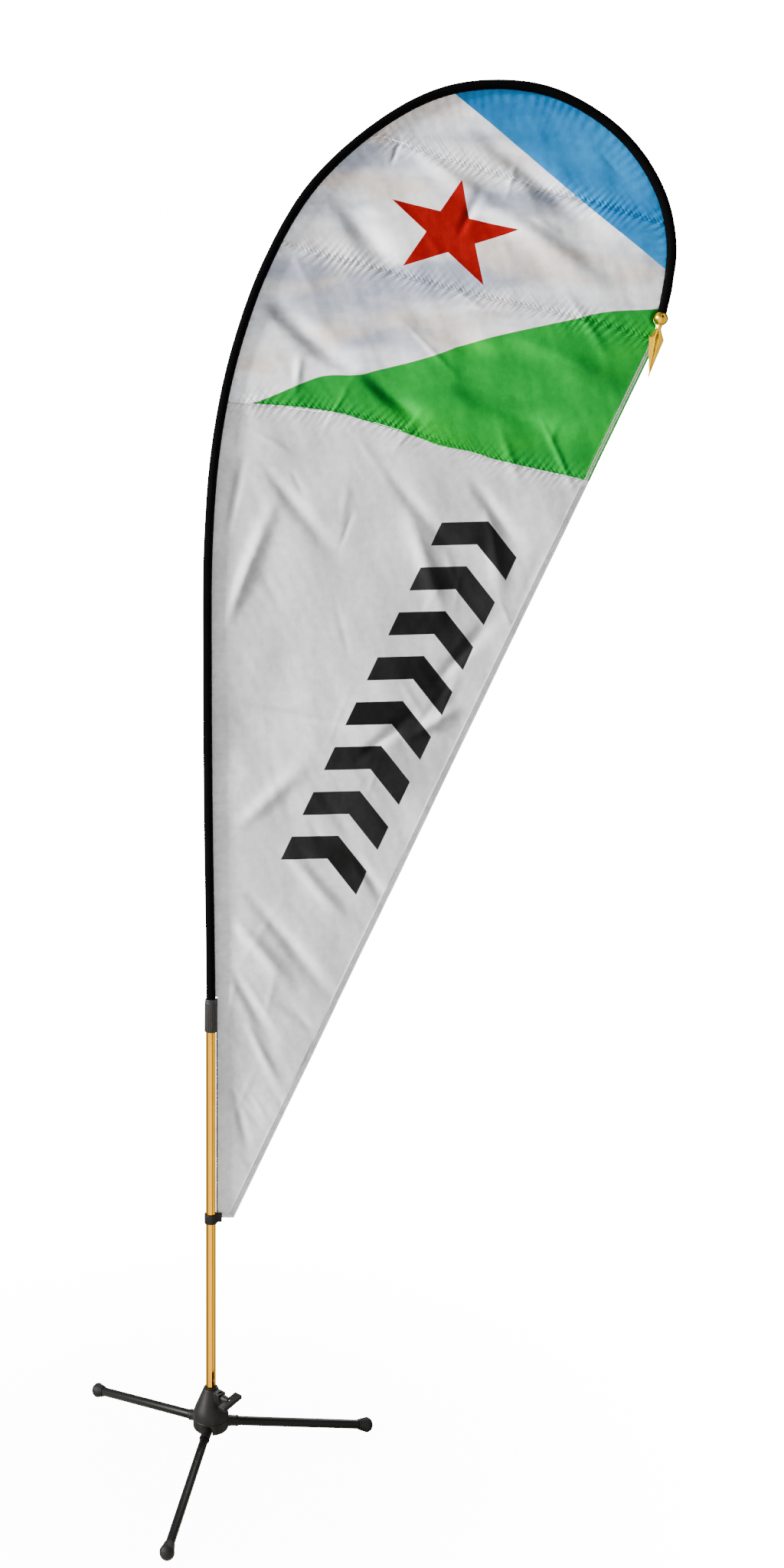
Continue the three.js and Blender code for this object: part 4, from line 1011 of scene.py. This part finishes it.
def makePanel(cadNode, name, lapSeam):
    corners, edges, known = [], [], {}

    def corner(spot):
        key = (round(spot.x, 6), round(spot.y, 6))
        if key not in known:
            known[key] = len(corners)
            corners.append(spot)
        return known[key]

    for start, end in frontOutline(cadNode):
        parts = max(1, math.ceil((end - start).length / (cloth["edgeStep"] * mm)))
        inner = [start.lerp(end, i / parts) for i in range(1, parts)]
        chain = [corner(toSleeve(spot)) for spot in (start, *inner, end)]
        edges += [(a, b) for a, b in zip(chain, chain[1:]) if a != b]
    # The lower edge laps behind the next panel
    if lapSeam is not None:
        onSeam = np.abs(nearestOnLines(np.array([tuple(spot) for spot in corners]), [seamLines[lapSeam]])[1]) < 3 * mm
        for i in np.flatnonzero(onSeam):
            corners[i] = corners[i] - Vector((0, cloth["lap"] * mm))
    tree = searchTree(corners)
    lowX, highX = min(c.x for c in corners), max(c.x for c in corners)
    lowZ, highZ = min(c.y for c in corners), max(c.y for c in corners)
    step = cloth["step"] * mm
    rows = int((highZ - lowZ) / (step * 0.866)) + 1
    lattice = np.array([(lowX + (k + (row % 2) / 2) * step, lowZ + row * step * 0.866)
                        for row in range(rows) for k in range(int((highX - lowX) / step) + 1)])
    rim = list(corners)
    lattice = lattice[insideRim(lattice, rim, edges)]
    nearSeam = np.abs(nearestOnLines(lattice, seamLines)[1]) < cloth["fineBand"] * mm
    close = [spot + np.array(shift) * step for spot in lattice[nearSeam]
             for shift in ((0.5, 0), (0.25, 0.433), (-0.25, 0.433))]
    if close:
        close = np.array(close)
        lattice = np.concatenate([lattice, close[insideRim(close, rim, edges)]])
    corners += [Vector(spot) for spot in lattice if tree.find((spot[0], 0, spot[1]))[2] > step * 0.55]
    meshed = geometry.delaunay_2d_cdt(corners, edges, [], 0, 1e-7, False)
    points, faces = np.array([tuple(vert) for vert in meshed[0]]), np.array(meshed[2])
    lift, along, away = clothLift(points)
    if lapSeam is not None:
        under = nearestOnLines(points, [seamLines[lapSeam]])[1]
        lift += 0.9 * mm * np.clip(0.4 - under / (2 * mm), 0, 1) * (np.abs(under) < 5 * mm)
    faces = faces[insideRim(points[faces].mean(axis=1), rim, edges)]
    sides = points[faces[:, 1:]] - points[faces[:, :1]]
    flatArea = float(np.abs(sides[:, 0, 0] * sides[:, 1, 1] - sides[:, 0, 1] * sides[:, 1, 0]).sum() / 2)
    # Slope of the relief towards the upper left lamp, from which the print's colour gets painted light and shade
    shift = np.array([0.0016, -0.0008])
    slope = (clothLift(points - shift)[0] - clothLift(points + shift)[0]) / (2 * np.linalg.norm(shift))
    verts = [(x, cloth["plane"] * mm + y, z) for (x, z), y in zip(points, lift)]
    piece = codedShape(name, verts, faces.tolist(), False)
    # The print reads these: place along a seam, distance from it, and how far the cloth turns to the key lamp, which
    # it uses as painted light and shade in its colour
    for label, values in (("seamAlong", along), ("seamAway", np.abs(away)), ("facing", np.clip(slope, -0.4, 0.4))):
        storeValues(piece, label, values)
    walled(piece, cloth["thickness"], 0)
    # The smallest rectangle that the panel could be cut from
    sizes = []
    for turn in range(0, 90, 3):
        way = np.array([math.cos(math.radians(turn)), math.sin(math.radians(turn))])
        sizes.append((float(np.ptp(points @ way)), float(np.ptp(points @ np.array([-way[1], way[0]])))))
    return piece, flatArea, min(sizes, key=lambda size: size[0] * size[1])


# The print: coloured fields, a star and a row of chevrons, set out in metres on the flag's plane, with painted light
# and shade where the folds turn to or from the key lamp
printing = {
    "blueLine": [(534.7, 2967.5), (992.5, 2585.2)],
    "greenTop": [(83, 2292), (225, 2348), (350, 2363), (535, 2417), (805, 2480), (973, 2500)],
    "fieldFoot": [(40, 2297), (297, 2269), (469, 2213), (601, 2177), (818, 2126), (990, 2096)],
    "starTips": [(546, 2780), (670, 2670), (595, 2550), (418, 2594), (394, 2741)], "starCentre": (525, 2667),
    "rowStart": (141, 1275), "rowAlong": (0.4217, 0.9069), "rowAcross": (0.903, -0.431),
    "rowLength": 913, "rowWidth": 181, "chevrons": 8, "stroke": 56, "chevronSlope": 0.5,
    "blue": (0.012, 0.2, 0.46), "blueDeep": (0.004, 0.1, 0.29), "green": (0.0, 0.27, 0.024),
    "greenDeep": (0.0, 0.19, 0.018), "greenWarm": (0.01, 0.3, 0.01), "red": (0.24, 0.0004, 0.0004),
    "redDeep": (0.12, 0.0002, 0.0002), "white": (0.74, 0.75, 0.78), "cool": (0.24, 0.27, 0.36),
    "warm": (0.6, 0.5, 0.43), "grey": (0.62, 0.625, 0.64), "greyDeep": (0.46, 0.465, 0.48),
    # upperGain and lowerGain set how strongly the painted light and shade brighten and darken the upper and lower
    # fields
    "ink": (0.004, 0.004, 0.0045), "upperGain": 1.5, "lowerGain": 1.0, "edgeLine": (0.9, 0.55, 0.7),
}


def heightCurve(tree, x, points):
    lowX, highX = points[0][0], points[-1][0]
    lowZ = min(z for a, z in points) - 10
    highZ = max(z for a, z in points) + 10
    ramp = node(tree, "ValToRGB", {0: remap(tree, x, lowX * mm, highX * mm)})
    ramp.color_ramp.interpolation = "CARDINAL"
    stops = ramp.color_ramp.elements
    for i, (px, pz) in enumerate(points):
        share = (px - lowX) / (highX - lowX)
        stop = stops[0] if i == 0 else (stops[-1] if i == len(points) - 1 else stops.new(share))
        stop.position = share
        tone = (pz - lowZ) / (highZ - lowZ)
        stop.color = (tone, tone, tone, 1)
    return remap(tree, ramp.outputs[0], 0, 1, lowZ * mm, highZ * mm)


def sideOf(tree, x, z, start, end, inside):
    start, end, inside = [Vector(p) * mm for p in (start, end, inside)]
    normal = Vector((start.y - end.y, end.x - start.x)).normalized()
    if (inside - start).dot(normal) < 0:
        normal = -normal
    return maths(tree, "MULTIPLY_ADD", x, normal.x, maths(tree, "MULTIPLY_ADD", z, normal.y, -start.dot(normal)))


def crisp(tree, distance, soft=0.0007):
    return remap(tree, distance, -soft, soft)


def makePrintWithPaintedShade():
    look = printing
    material, tree, shader, place = newFinish("printedCloth")
    apart = node(tree, "SeparateXYZ", {0: place}).outputs
    x, z = apart[0], apart[2]
    diagonal = noisePattern(tree, place, 3.1, 4, (0.6, 1, 2.1), 38)
    patches = noisePattern(tree, place, 4.4, 3, (0.7, 1, 1.7), 30)
    mottle = noisePattern(tree, place, 9, 5, (1, 1, 0.55), -28)
    speck = noisePattern(tree, place, 70, 3)

    upper = blendColour(tree, remap(tree, diagonal, 0.42, 0.62, 0, 0.85, "SMOOTHSTEP"), look["white"], look["cool"])
    upper = blendColour(tree, remap(tree, patches, 0.5, 0.64, 0, 0.7, "SMOOTHSTEP"), upper, look["warm"])
    blue = blendColour(tree, remap(tree, diagonal, 0.36, 0.66), look["blueDeep"], look["blue"])
    line = look["blueLine"]
    upper = blendColour(tree, crisp(tree, sideOf(tree, x, z, line[0], line[1], (900, 2900))), upper, blue)

    # Inside the star where at least four of its five lines have the centre on the same side
    aboveCount = 0.0
    tips = look["starTips"]
    for i in range(5):
        inside = crisp(tree, sideOf(tree, x, z, tips[i], tips[(i + 2) % 5], look["starCentre"]))
        aboveCount = maths(tree, "ADD", aboveCount, inside)
    red = blendColour(tree, remap(tree, patches, 0.35, 0.65), look["redDeep"], look["red"])
    upper = blendColour(tree, remap(tree, aboveCount, 3.45, 3.9), upper, red)

    greenTop = maths(tree, "SUBTRACT", heightCurve(tree, x, look["greenTop"]), z)
    right = crisp(tree, maths(tree, "SUBTRACT", x, 0.083))
    green = blendColour(tree, remap(tree, diagonal, 0.34, 0.66), look["greenDeep"], look["green"])
    green = blendColour(tree, remap(tree, patches, 0.5, 0.75, 0, 0.5), green, look["greenWarm"])
    rimLine = remap(tree, maths(tree, "ABSOLUTE", maths(tree, "ADD", greenTop, 0.0015)), 0.0008, 0.0022, 0.7, 0)
    upper = blendColour(tree, maths(tree, "MULTIPLY", rimLine, right), upper, look["edgeLine"])
    upper = blendColour(tree, maths(tree, "MULTIPLY", crisp(tree, greenTop), right), upper, green)

    lower = blendColour(tree, remap(tree, mottle, 0.35, 0.68), look["grey"], look["greyDeep"])
    start = look["rowStart"]

    def rowShare(way):
        offset = -(start[0] * way[0] + start[1] * way[1]) * mm
        return maths(tree, "MULTIPLY_ADD", x, way[0], maths(tree, "MULTIPLY_ADD", z, way[1], offset))

    along, across = rowShare(look["rowAlong"]), rowShare(look["rowAcross"])
    bend = maths(tree, "ABSOLUTE", maths(tree, "SUBTRACT", across, look["rowWidth"] / 2 * mm))
    slope = look["chevronSlope"]
    reach = look["rowWidth"] / 2 * slope
    pitch = (look["rowLength"] - reach) / look["chevrons"]
    phase = maths(tree, "DIVIDE", maths(tree, "MULTIPLY_ADD", bend, slope, maths(tree, "SUBTRACT", along, reach * mm)),
                  pitch * mm)
    share = maths(tree, "FRACT", phase)
    stroke = look["stroke"] / pitch
    inStroke = remap(tree, maths(tree, "ABSOLUTE", maths(tree, "SUBTRACT", share, 0.5)), stroke / 2 + 0.006,
                     stroke / 2 - 0.006)
    for value, size, soft in ((phase, look["chevrons"], 0.01), (across, look["rowWidth"] * mm, 0.0007)):
        inStroke = maths(tree, "MULTIPLY", inStroke, crisp(tree, value, soft))
        inStroke = maths(tree, "MULTIPLY", inStroke, crisp(tree, maths(tree, "SUBTRACT", size, value), soft))
    ink = blendColour(tree, remap(tree, mottle, 0.4, 0.7), look["ink"], (0.016, 0.016, 0.017))
    lower = blendColour(tree, inStroke, lower, ink)

    isUpper = crisp(tree, maths(tree, "SUBTRACT", z, heightCurve(tree, x, look["fieldFoot"])))
    colour = blendColour(tree, isUpper, lower, upper)
    colour = node(tree, "Mix", {0: remap(tree, speck, 0.35, 0.7, 0, 0.16), 6: colour, 7: (0.2, 0.2, 0.2, 1)},
                  data_type="RGBA", blend_type="MULTIPLY").outputs[2]
    # Painted light and shade: the colour is scaled up where the folds turn to the key lamp and down where they turn
    # away, then held under 0.95
    facing = node(tree, "Attribute", attribute_name="facing").outputs["Fac"]
    paintedShadeGain = maths(tree, "MULTIPLY_ADD", facing, remap(tree, isUpper, 0, 1, look["lowerGain"], look["upperGain"]), 1.0)
    colour = node(tree, "VectorMath", {0: colour, 3: maths(tree, "MAXIMUM", paintedShadeGain, 0.12)}, operation="SCALE").outputs[0]
    colour = node(tree, "VectorMath", {0: colour, 1: (0.95, 0.95, 0.95)}, operation="MINIMUM").outputs[0]
    tree.links.new(colour, shader.inputs["Base Color"])
    tree.links.new(remap(tree, inStroke, 0, 1, 0.62, 0.42), shader.inputs["Roughness"])

    # Knit, fine creases and the ruffles on each seam
    seamAlong = node(tree, "Attribute", attribute_name="seamAlong").outputs["Fac"]
    seamAway = node(tree, "Attribute", attribute_name="seamAway").outputs["Fac"]
    slanted = maths(tree, "MULTIPLY_ADD", seamAway, 1.2, seamAlong)
    wave = maths(tree, "SINE", maths(tree, "MULTIPLY_ADD", slanted, 2 * math.pi / 0.0105,
                                     maths(tree, "MULTIPLY", patches, 9)))
    ruffle = maths(tree, "MULTIPLY", wave, remap(tree, seamAway, 0.004, 0.013, 0.55, 0, "SMOOTHSTEP"))
    strand = node(tree, "CombineXYZ", {0: maths(tree, "MULTIPLY", slanted, 75),
                                       1: maths(tree, "MULTIPLY", seamAway, 11)})
    pleats = node(tree, "TexNoise", {"Vector": strand.outputs[0], "Scale": 1.0, "Detail": 3.0}).outputs[0]
    pleats = maths(tree, "MULTIPLY", pleats, remap(tree, seamAway, 0.004, 0.07, 1.7, 0, "SMOOTHSTEP"))
    crease = noisePattern(tree, place, 26, 4, (1.6, 1, 0.6), 24)
    height = maths(tree, "ADD", maths(tree, "ADD", ruffle, pleats), maths(tree, "MULTIPLY", crease, 0.9))
    height = maths(tree, "ADD", height, remap(tree, seamAway, 0.0, 0.0014, -0.6, 0))
    folds = node(tree, "Bump", {"Height": height, "Distance": 1.0 * mm, "Strength": 1.0}).outputs[0]
    knit = node(tree, "TexWave", {"Vector": place, "Scale": 260, "Distortion": 0.6}, bands_direction="X").outputs[1]
    rows = node(tree, "TexWave", {"Vector": place, "Scale": 260, "Distortion": 0.6}, bands_direction="Z").outputs[1]
    weave = node(tree, "Bump", {"Height": maths(tree, "MULTIPLY", knit, rows), "Distance": 0.05 * mm,
                                "Strength": 0.6, "Normal": folds}).outputs[0]
    tree.links.new(weave, shader.inputs["Normal"])
    shader.inputs["Specular IOR Level"].default_value = 0.06
    return material


printedCloth = makePrintWithPaintedShade()


def threadFinish(name, pale, dark):
    material, tree, shader, place = newFinish(name)
    z = node(tree, "SeparateXYZ", {0: place}).outputs[2]
    twist = node(tree, "TexWave", {"Vector": place, "Scale": 900, "Distortion": 0.4}, bands_direction="DIAGONAL")
    shade = blendColour(tree, remap(tree, z, 2.112, 2.118), dark, pale)
    shade = blendColour(tree, remap(tree, twist.outputs[1], 0.2, 0.9, 0, 0.35), shade, (0.25, 0.25, 0.25))
    tree.links.new(shade, shader.inputs["Base Color"])
    shader.inputs["Roughness"].default_value = 0.6
    bump = node(tree, "Bump", {"Height": twist.outputs[1], "Distance": 0.1 * mm, "Strength": 0.6})
    tree.links.new(bump.outputs[0], shader.inputs["Normal"])
    return material


hemThread = threadFinish("hemThread", (0.86, 0.6, 0.68), (0.09, 0.09, 0.1))
sleeveThread = threadFinish("sleeveThread", (0.004, 0.004, 0.004), (0.004, 0.004, 0.004))


def zigzagThread(name, spots, asides, width, radius, rows):
    # Thread that crosses a seam line from side to side: spots and side directions are 3-D, one a half pitch
    verts, faces = [], []
    for shift, sign in rows:
        first = len(verts)
        for i, (spot, aside) in enumerate(zip(spots, asides)):
            side = sign * (1 if i % 2 else -1)
            along = (spots[min(i + 1, len(spots) - 1)] - spots[max(i - 1, 0)]).normalized()
            outward = Vector((0, -1, 0))
            middle = spot + aside * (shift + side * width / 2) * mm
            for offset in (outward, along, -outward, -along):
                verts.append(middle + offset * radius * mm)
        last = len(verts) - 4
        faces += skinFaces(len(spots), 4, first)
        faces += [(first + 3, first + 2, first + 1, first), (last, last + 1, last + 2, last + 3)]
    piece = codedShape(name, verts, faces)
    storeValues(piece, "seamAway", [1.0] * len(verts))
    return piece


# Hem along the free edge, stitched with a double zigzag. Its section: distance in from the edge, depth
hem = {
    "section": [(-0.2, -0.1), (-0.05, -0.62), (0.8, -0.78), (3.5, -0.7), (7.5, -0.82), (11.8, -0.7), (14.6, -0.8),
                (15.4, -0.5), (15.6, 0), (15.4, 0.5), (14.6, 0.8), (7.5, 0.78), (0.8, 0.75), (-0.05, 0.6)],
    "step": 5, "stitchPitch": 1.9, "stitchLine": 7.75, "stitchWidth": 3.6, "thread": 0.36,
    "rows": [(-1.9, 1), (2.6, 1)],
}
leechBottom = Vector(cloth["leechBottom"]) * mm
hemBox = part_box("leech_hem")
leechTop = Vector((hemBox[1].x, hemBox[1].z))
leechWay = (leechTop - leechBottom).normalized()
leechIn = Vector((-leechWay.y, leechWay.x))


def bandShape(name, rings):
    # A closed band from rings of points, its two ends filled
    sides, verts = len(rings[0]), [vert for ring in rings for vert in ring]
    ends = [tuple(range(sides)), tuple(reversed(range(len(verts) - sides, len(verts))))]
    return codedShape(name, verts, skinFaces(len(rings), sides) + ends)


def makeHem():
    steps = int((leechTop - leechBottom).length / (hem["step"] * mm))
    spots = [leechBottom.lerp(leechTop, i / steps) for i in range(steps + 1)]
    rings = []
    middles = np.array([tuple(spot + leechIn * 0.0075) for spot in spots])
    lift = clothLift(middles)[0] * 0.6
    for i, spot in enumerate(spots):
        ripple = 0.35 * math.sin(i * 0.9) * math.sin(i * 0.13 + 1)
        rings.append([])
        for inward, deep in hem["section"]:
            inward = max(0.0, inward + ripple * 0.3)
            place = spot + leechIn * inward * mm
            if i == 0:
                place -= leechWay * (leechIn.y * inward / leechWay.y) * mm
            rings[-1].append((place.x, (cloth["plane"] + deep + ripple * 0.3) * mm + lift[i], place.y))
    piece = bandShape("free_edge_hem", rings)
    storeValues(piece, "seamAway", [1.0] * len(piece.data.vertices))
    fitPiece(piece, "mast", printedCloth, ["leech_hem"], 50)

    pitch = hem["stitchPitch"]
    count = int((leechTop - leechBottom).length / (pitch * mm)) - 2
    line = [leechBottom + leechWay * (i + 1) * pitch * mm + leechIn * hem["stitchLine"] * mm for i in range(count)]
    liftThread = clothLift(np.array([tuple(spot) for spot in line]))[0] * 0.6
    front = (cloth["plane"] - 0.95) * mm
    spots = [Vector((spot.x, front + y, spot.y)) for spot, y in zip(line, liftThread)]
    asides = [Vector((leechIn.x, 0, leechIn.y))] * count
    stitches = zigzagThread("hem_stitches", spots, asides, hem["stitchWidth"], hem["thread"], hem["rows"])
    fitPiece(stitches, "mast", hemThread, smooth=60)
    return piece, stitches


seam = {"pitch": 2.2, "width": 2.6, "thread": 0.3, "rows": [(2.8, 1), (-2.8, 1)], "hemGap": 17, "sleeveGap": 11,
        "ballGap": 70}


def makeSeamStitches():
    pieces = []
    for name, line in zip(("top", "middle", "lower"), seamLines):
        inside = []
        for spot in evenly(line, seam["pitch"] * mm)[1:-1]:
            pastHem = (spot - leechBottom).dot(leechIn) < seam["hemGap"] * mm
            near = bowTree.find((spot.x, 0, spot.y))
            ahead = (bowLine[min(near[1] + 1, len(bowLine) - 1)] - bowLine[max(near[1] - 1, 0)]).normalized()
            inSleeve = (spot - bowLine[near[1]]).dot(Vector((ahead.y, -ahead.x))) < seam["sleeveGap"] * mm
            atBall = (spot - bowLine[-1]).length < seam["ballGap"] * mm
            if not (pastHem or inSleeve or atBall):
                inside.append(spot)
        lift = clothLift(np.array([tuple(spot) for spot in inside]))[0]
        spots = [Vector((spot.x, (cloth["plane"] - cloth["thickness"] / 2 - 0.12) * mm + y, spot.y))
                 for spot, y in zip(inside, lift)]
        asides = []
        for i in range(len(inside)):
            ahead = (inside[min(i + 1, len(inside) - 1)] - inside[max(i - 1, 0)]).normalized()
            asides.append(Vector((-ahead.y, 0, ahead.x)))
        piece = zigzagThread(f"seam_stitches_{name}", spots, asides, seam["width"], seam["thread"], seam["rows"])
        pieces.append(fitPiece(piece, "mast", printedCloth, smooth=60))
    return pieces


# Black webbing folded round the luff edge, curling behind the pole's side: its middle line across, then back
tape = {"flat": [(17.4, 6.75), (15.9, 6.6), (14.6, 6.65)], "curl": [(13.9, 7.25), (12.95, 8.4), (11.75, 9.85)],
        "rings": 150, "ripple": 0.12}


def makeTape():
    low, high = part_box("luff_tape")
    flat, curl = tape["flat"], tape["curl"]
    outline = [(x, y - 0.42) for x, y in flat] + [(x - 0.34, y - 0.3) for x, y in curl]
    outline += [(x + 0.34, y + 0.3) for x, y in reversed(curl)] + [(x, y + 0.42) for x, y in reversed(flat)]
    rings = []
    for i in range(tape["rings"] + 1):
        z = high.z + (low.z - high.z) * i / tape["rings"]
        ripple = tape["ripple"] * noise.noise((0.5, i * 0.21, 4.0))
        rings.append([((x + ripple) * mm, (y + ripple) * mm, z) for x, y in outline])
    piece = bandShape("luff_webbing", rings)
    return fitPiece(piece, "mast", blackPocket, ["luff_tape"], 60)


def makeFlag():
    names = [("panel_top", "cloth_top", 0), ("panel_upper", "cloth_upper", 1), ("panel_middle", "cloth_middle", 2),
             ("panel_lower", "cloth_lower", None)]
    hem, hemStitches = makeHem()
    stitches = makeSeamStitches()
    tape = makeTape()
    for cadNode, name, lapSeam in names:
        piece, area, size = makePanel(cadNode, name, lapSeam)
        fitPiece(piece, "mast", printedCloth, [cadNode], 80)
        print(name, len(piece.data.polygons), "faces,", round(area, 3), "square metres")


# The black pocket that the mast runs in, gathered a little on the inside of the bend
sleeve = {"foot": 997.8, "radius": 9.85, "thickness": 0.8, "cutWidth": 63, "gather": 0.28, "stitchPitch": 3,
          "stitchTurn": 28, "stitchReach": 10.1, "stitchWidth": 1.4, "thread": 0.22}


def makeSleeve():
    line = [Vector((0, sleeve["foot"] * mm)), *bowLine[:-3]]
    turns = []
    for i in range(len(line)):
        back, ahead = line[max(i - 6, 0)], line[min(i + 6, len(line) - 1)]
        middle = line[i]
        turns.append(min(1.0, abs((ahead - middle).angle(middle - back, 0)) * 16) if 6 < i < len(line) - 7 else 0)

    def girth(i, turn):
        inside = max(0, math.cos(turn))
        gather = sleeve["gather"] * turns[i] * inside * math.sin(i * 1.9 + 0.8 * math.sin(i * 0.37))
        loose = 0.16 * noise.noise((i * 0.05, math.cos(turn) * 0.9, math.sin(turn) * 0.9))
        lip = 0.3 if i < 4 else 0
        return (sleeve["radius"] + 0.75 * turns[i] + gather + loose + lip) * mm

    piece = sweptShape("black_sleeve", line, girth, sleeve["thickness"], 28)
    fitPiece(piece, "mast", blackPocket, ["mast_sleeve"], 60)
    spots, asides = [], []
    turn = math.radians(sleeve["stitchTurn"])
    spaced = evenly(line, sleeve["stitchPitch"] * mm)[2:-4]
    for i, spot in enumerate(spaced):
        ahead = (spaced[min(i + 1, len(spaced) - 1)] - spaced[max(i - 1, 0)]).normalized()
        aside = Vector((ahead.y, 0, -ahead.x))
        reach = Vector((0, -1, 0)) * math.sin(turn) + aside * math.cos(turn)
        spots.append(Vector((spot.x, 0, spot.y)) + reach * sleeve["stitchReach"] * mm)
        asides.append(Vector((0, 1, 0)) * math.cos(turn) + aside * math.sin(turn))
    thread = zigzagThread("sleeve_stitches", spots, asides, sleeve["stitchWidth"], sleeve["thread"], [(0, 1)])
    fitPiece(thread, "mast", sleeveThread, smooth=60)


makeSleeve()
print("sleeve made")
makeFlag()
print("flag made")

# CAD pieces that keep their shape and get their finish here
keptFinishes = {
    "zincPlate": ["ring_screw_1", "ring_screw_2", "ring_screw_3", "hinge_pin_1", "hinge_pin_2", "hinge_pin_3",
                  "clamp_nut", "wing_bolt_shank", "rod_ferrule", "corner_clip_screw"],
    "satinPlastic": ["clamp_pad", "pole_bottom_plug", "pole_top_bush", "mast_rod_guide"],
    "glassFibre": ["bow_rod"],
    "powderCoat": ["finial_grub_screw"],
}
for finish, names in keptFinishes.items():
    for name in names:
        kept = frame["nodes"][name]
        if not kept.material_slots:
            kept.data.materials.append(None)
        for place in kept.material_slots:
            place.material = bpy.data.materials[finish]
print("kept pieces finished")
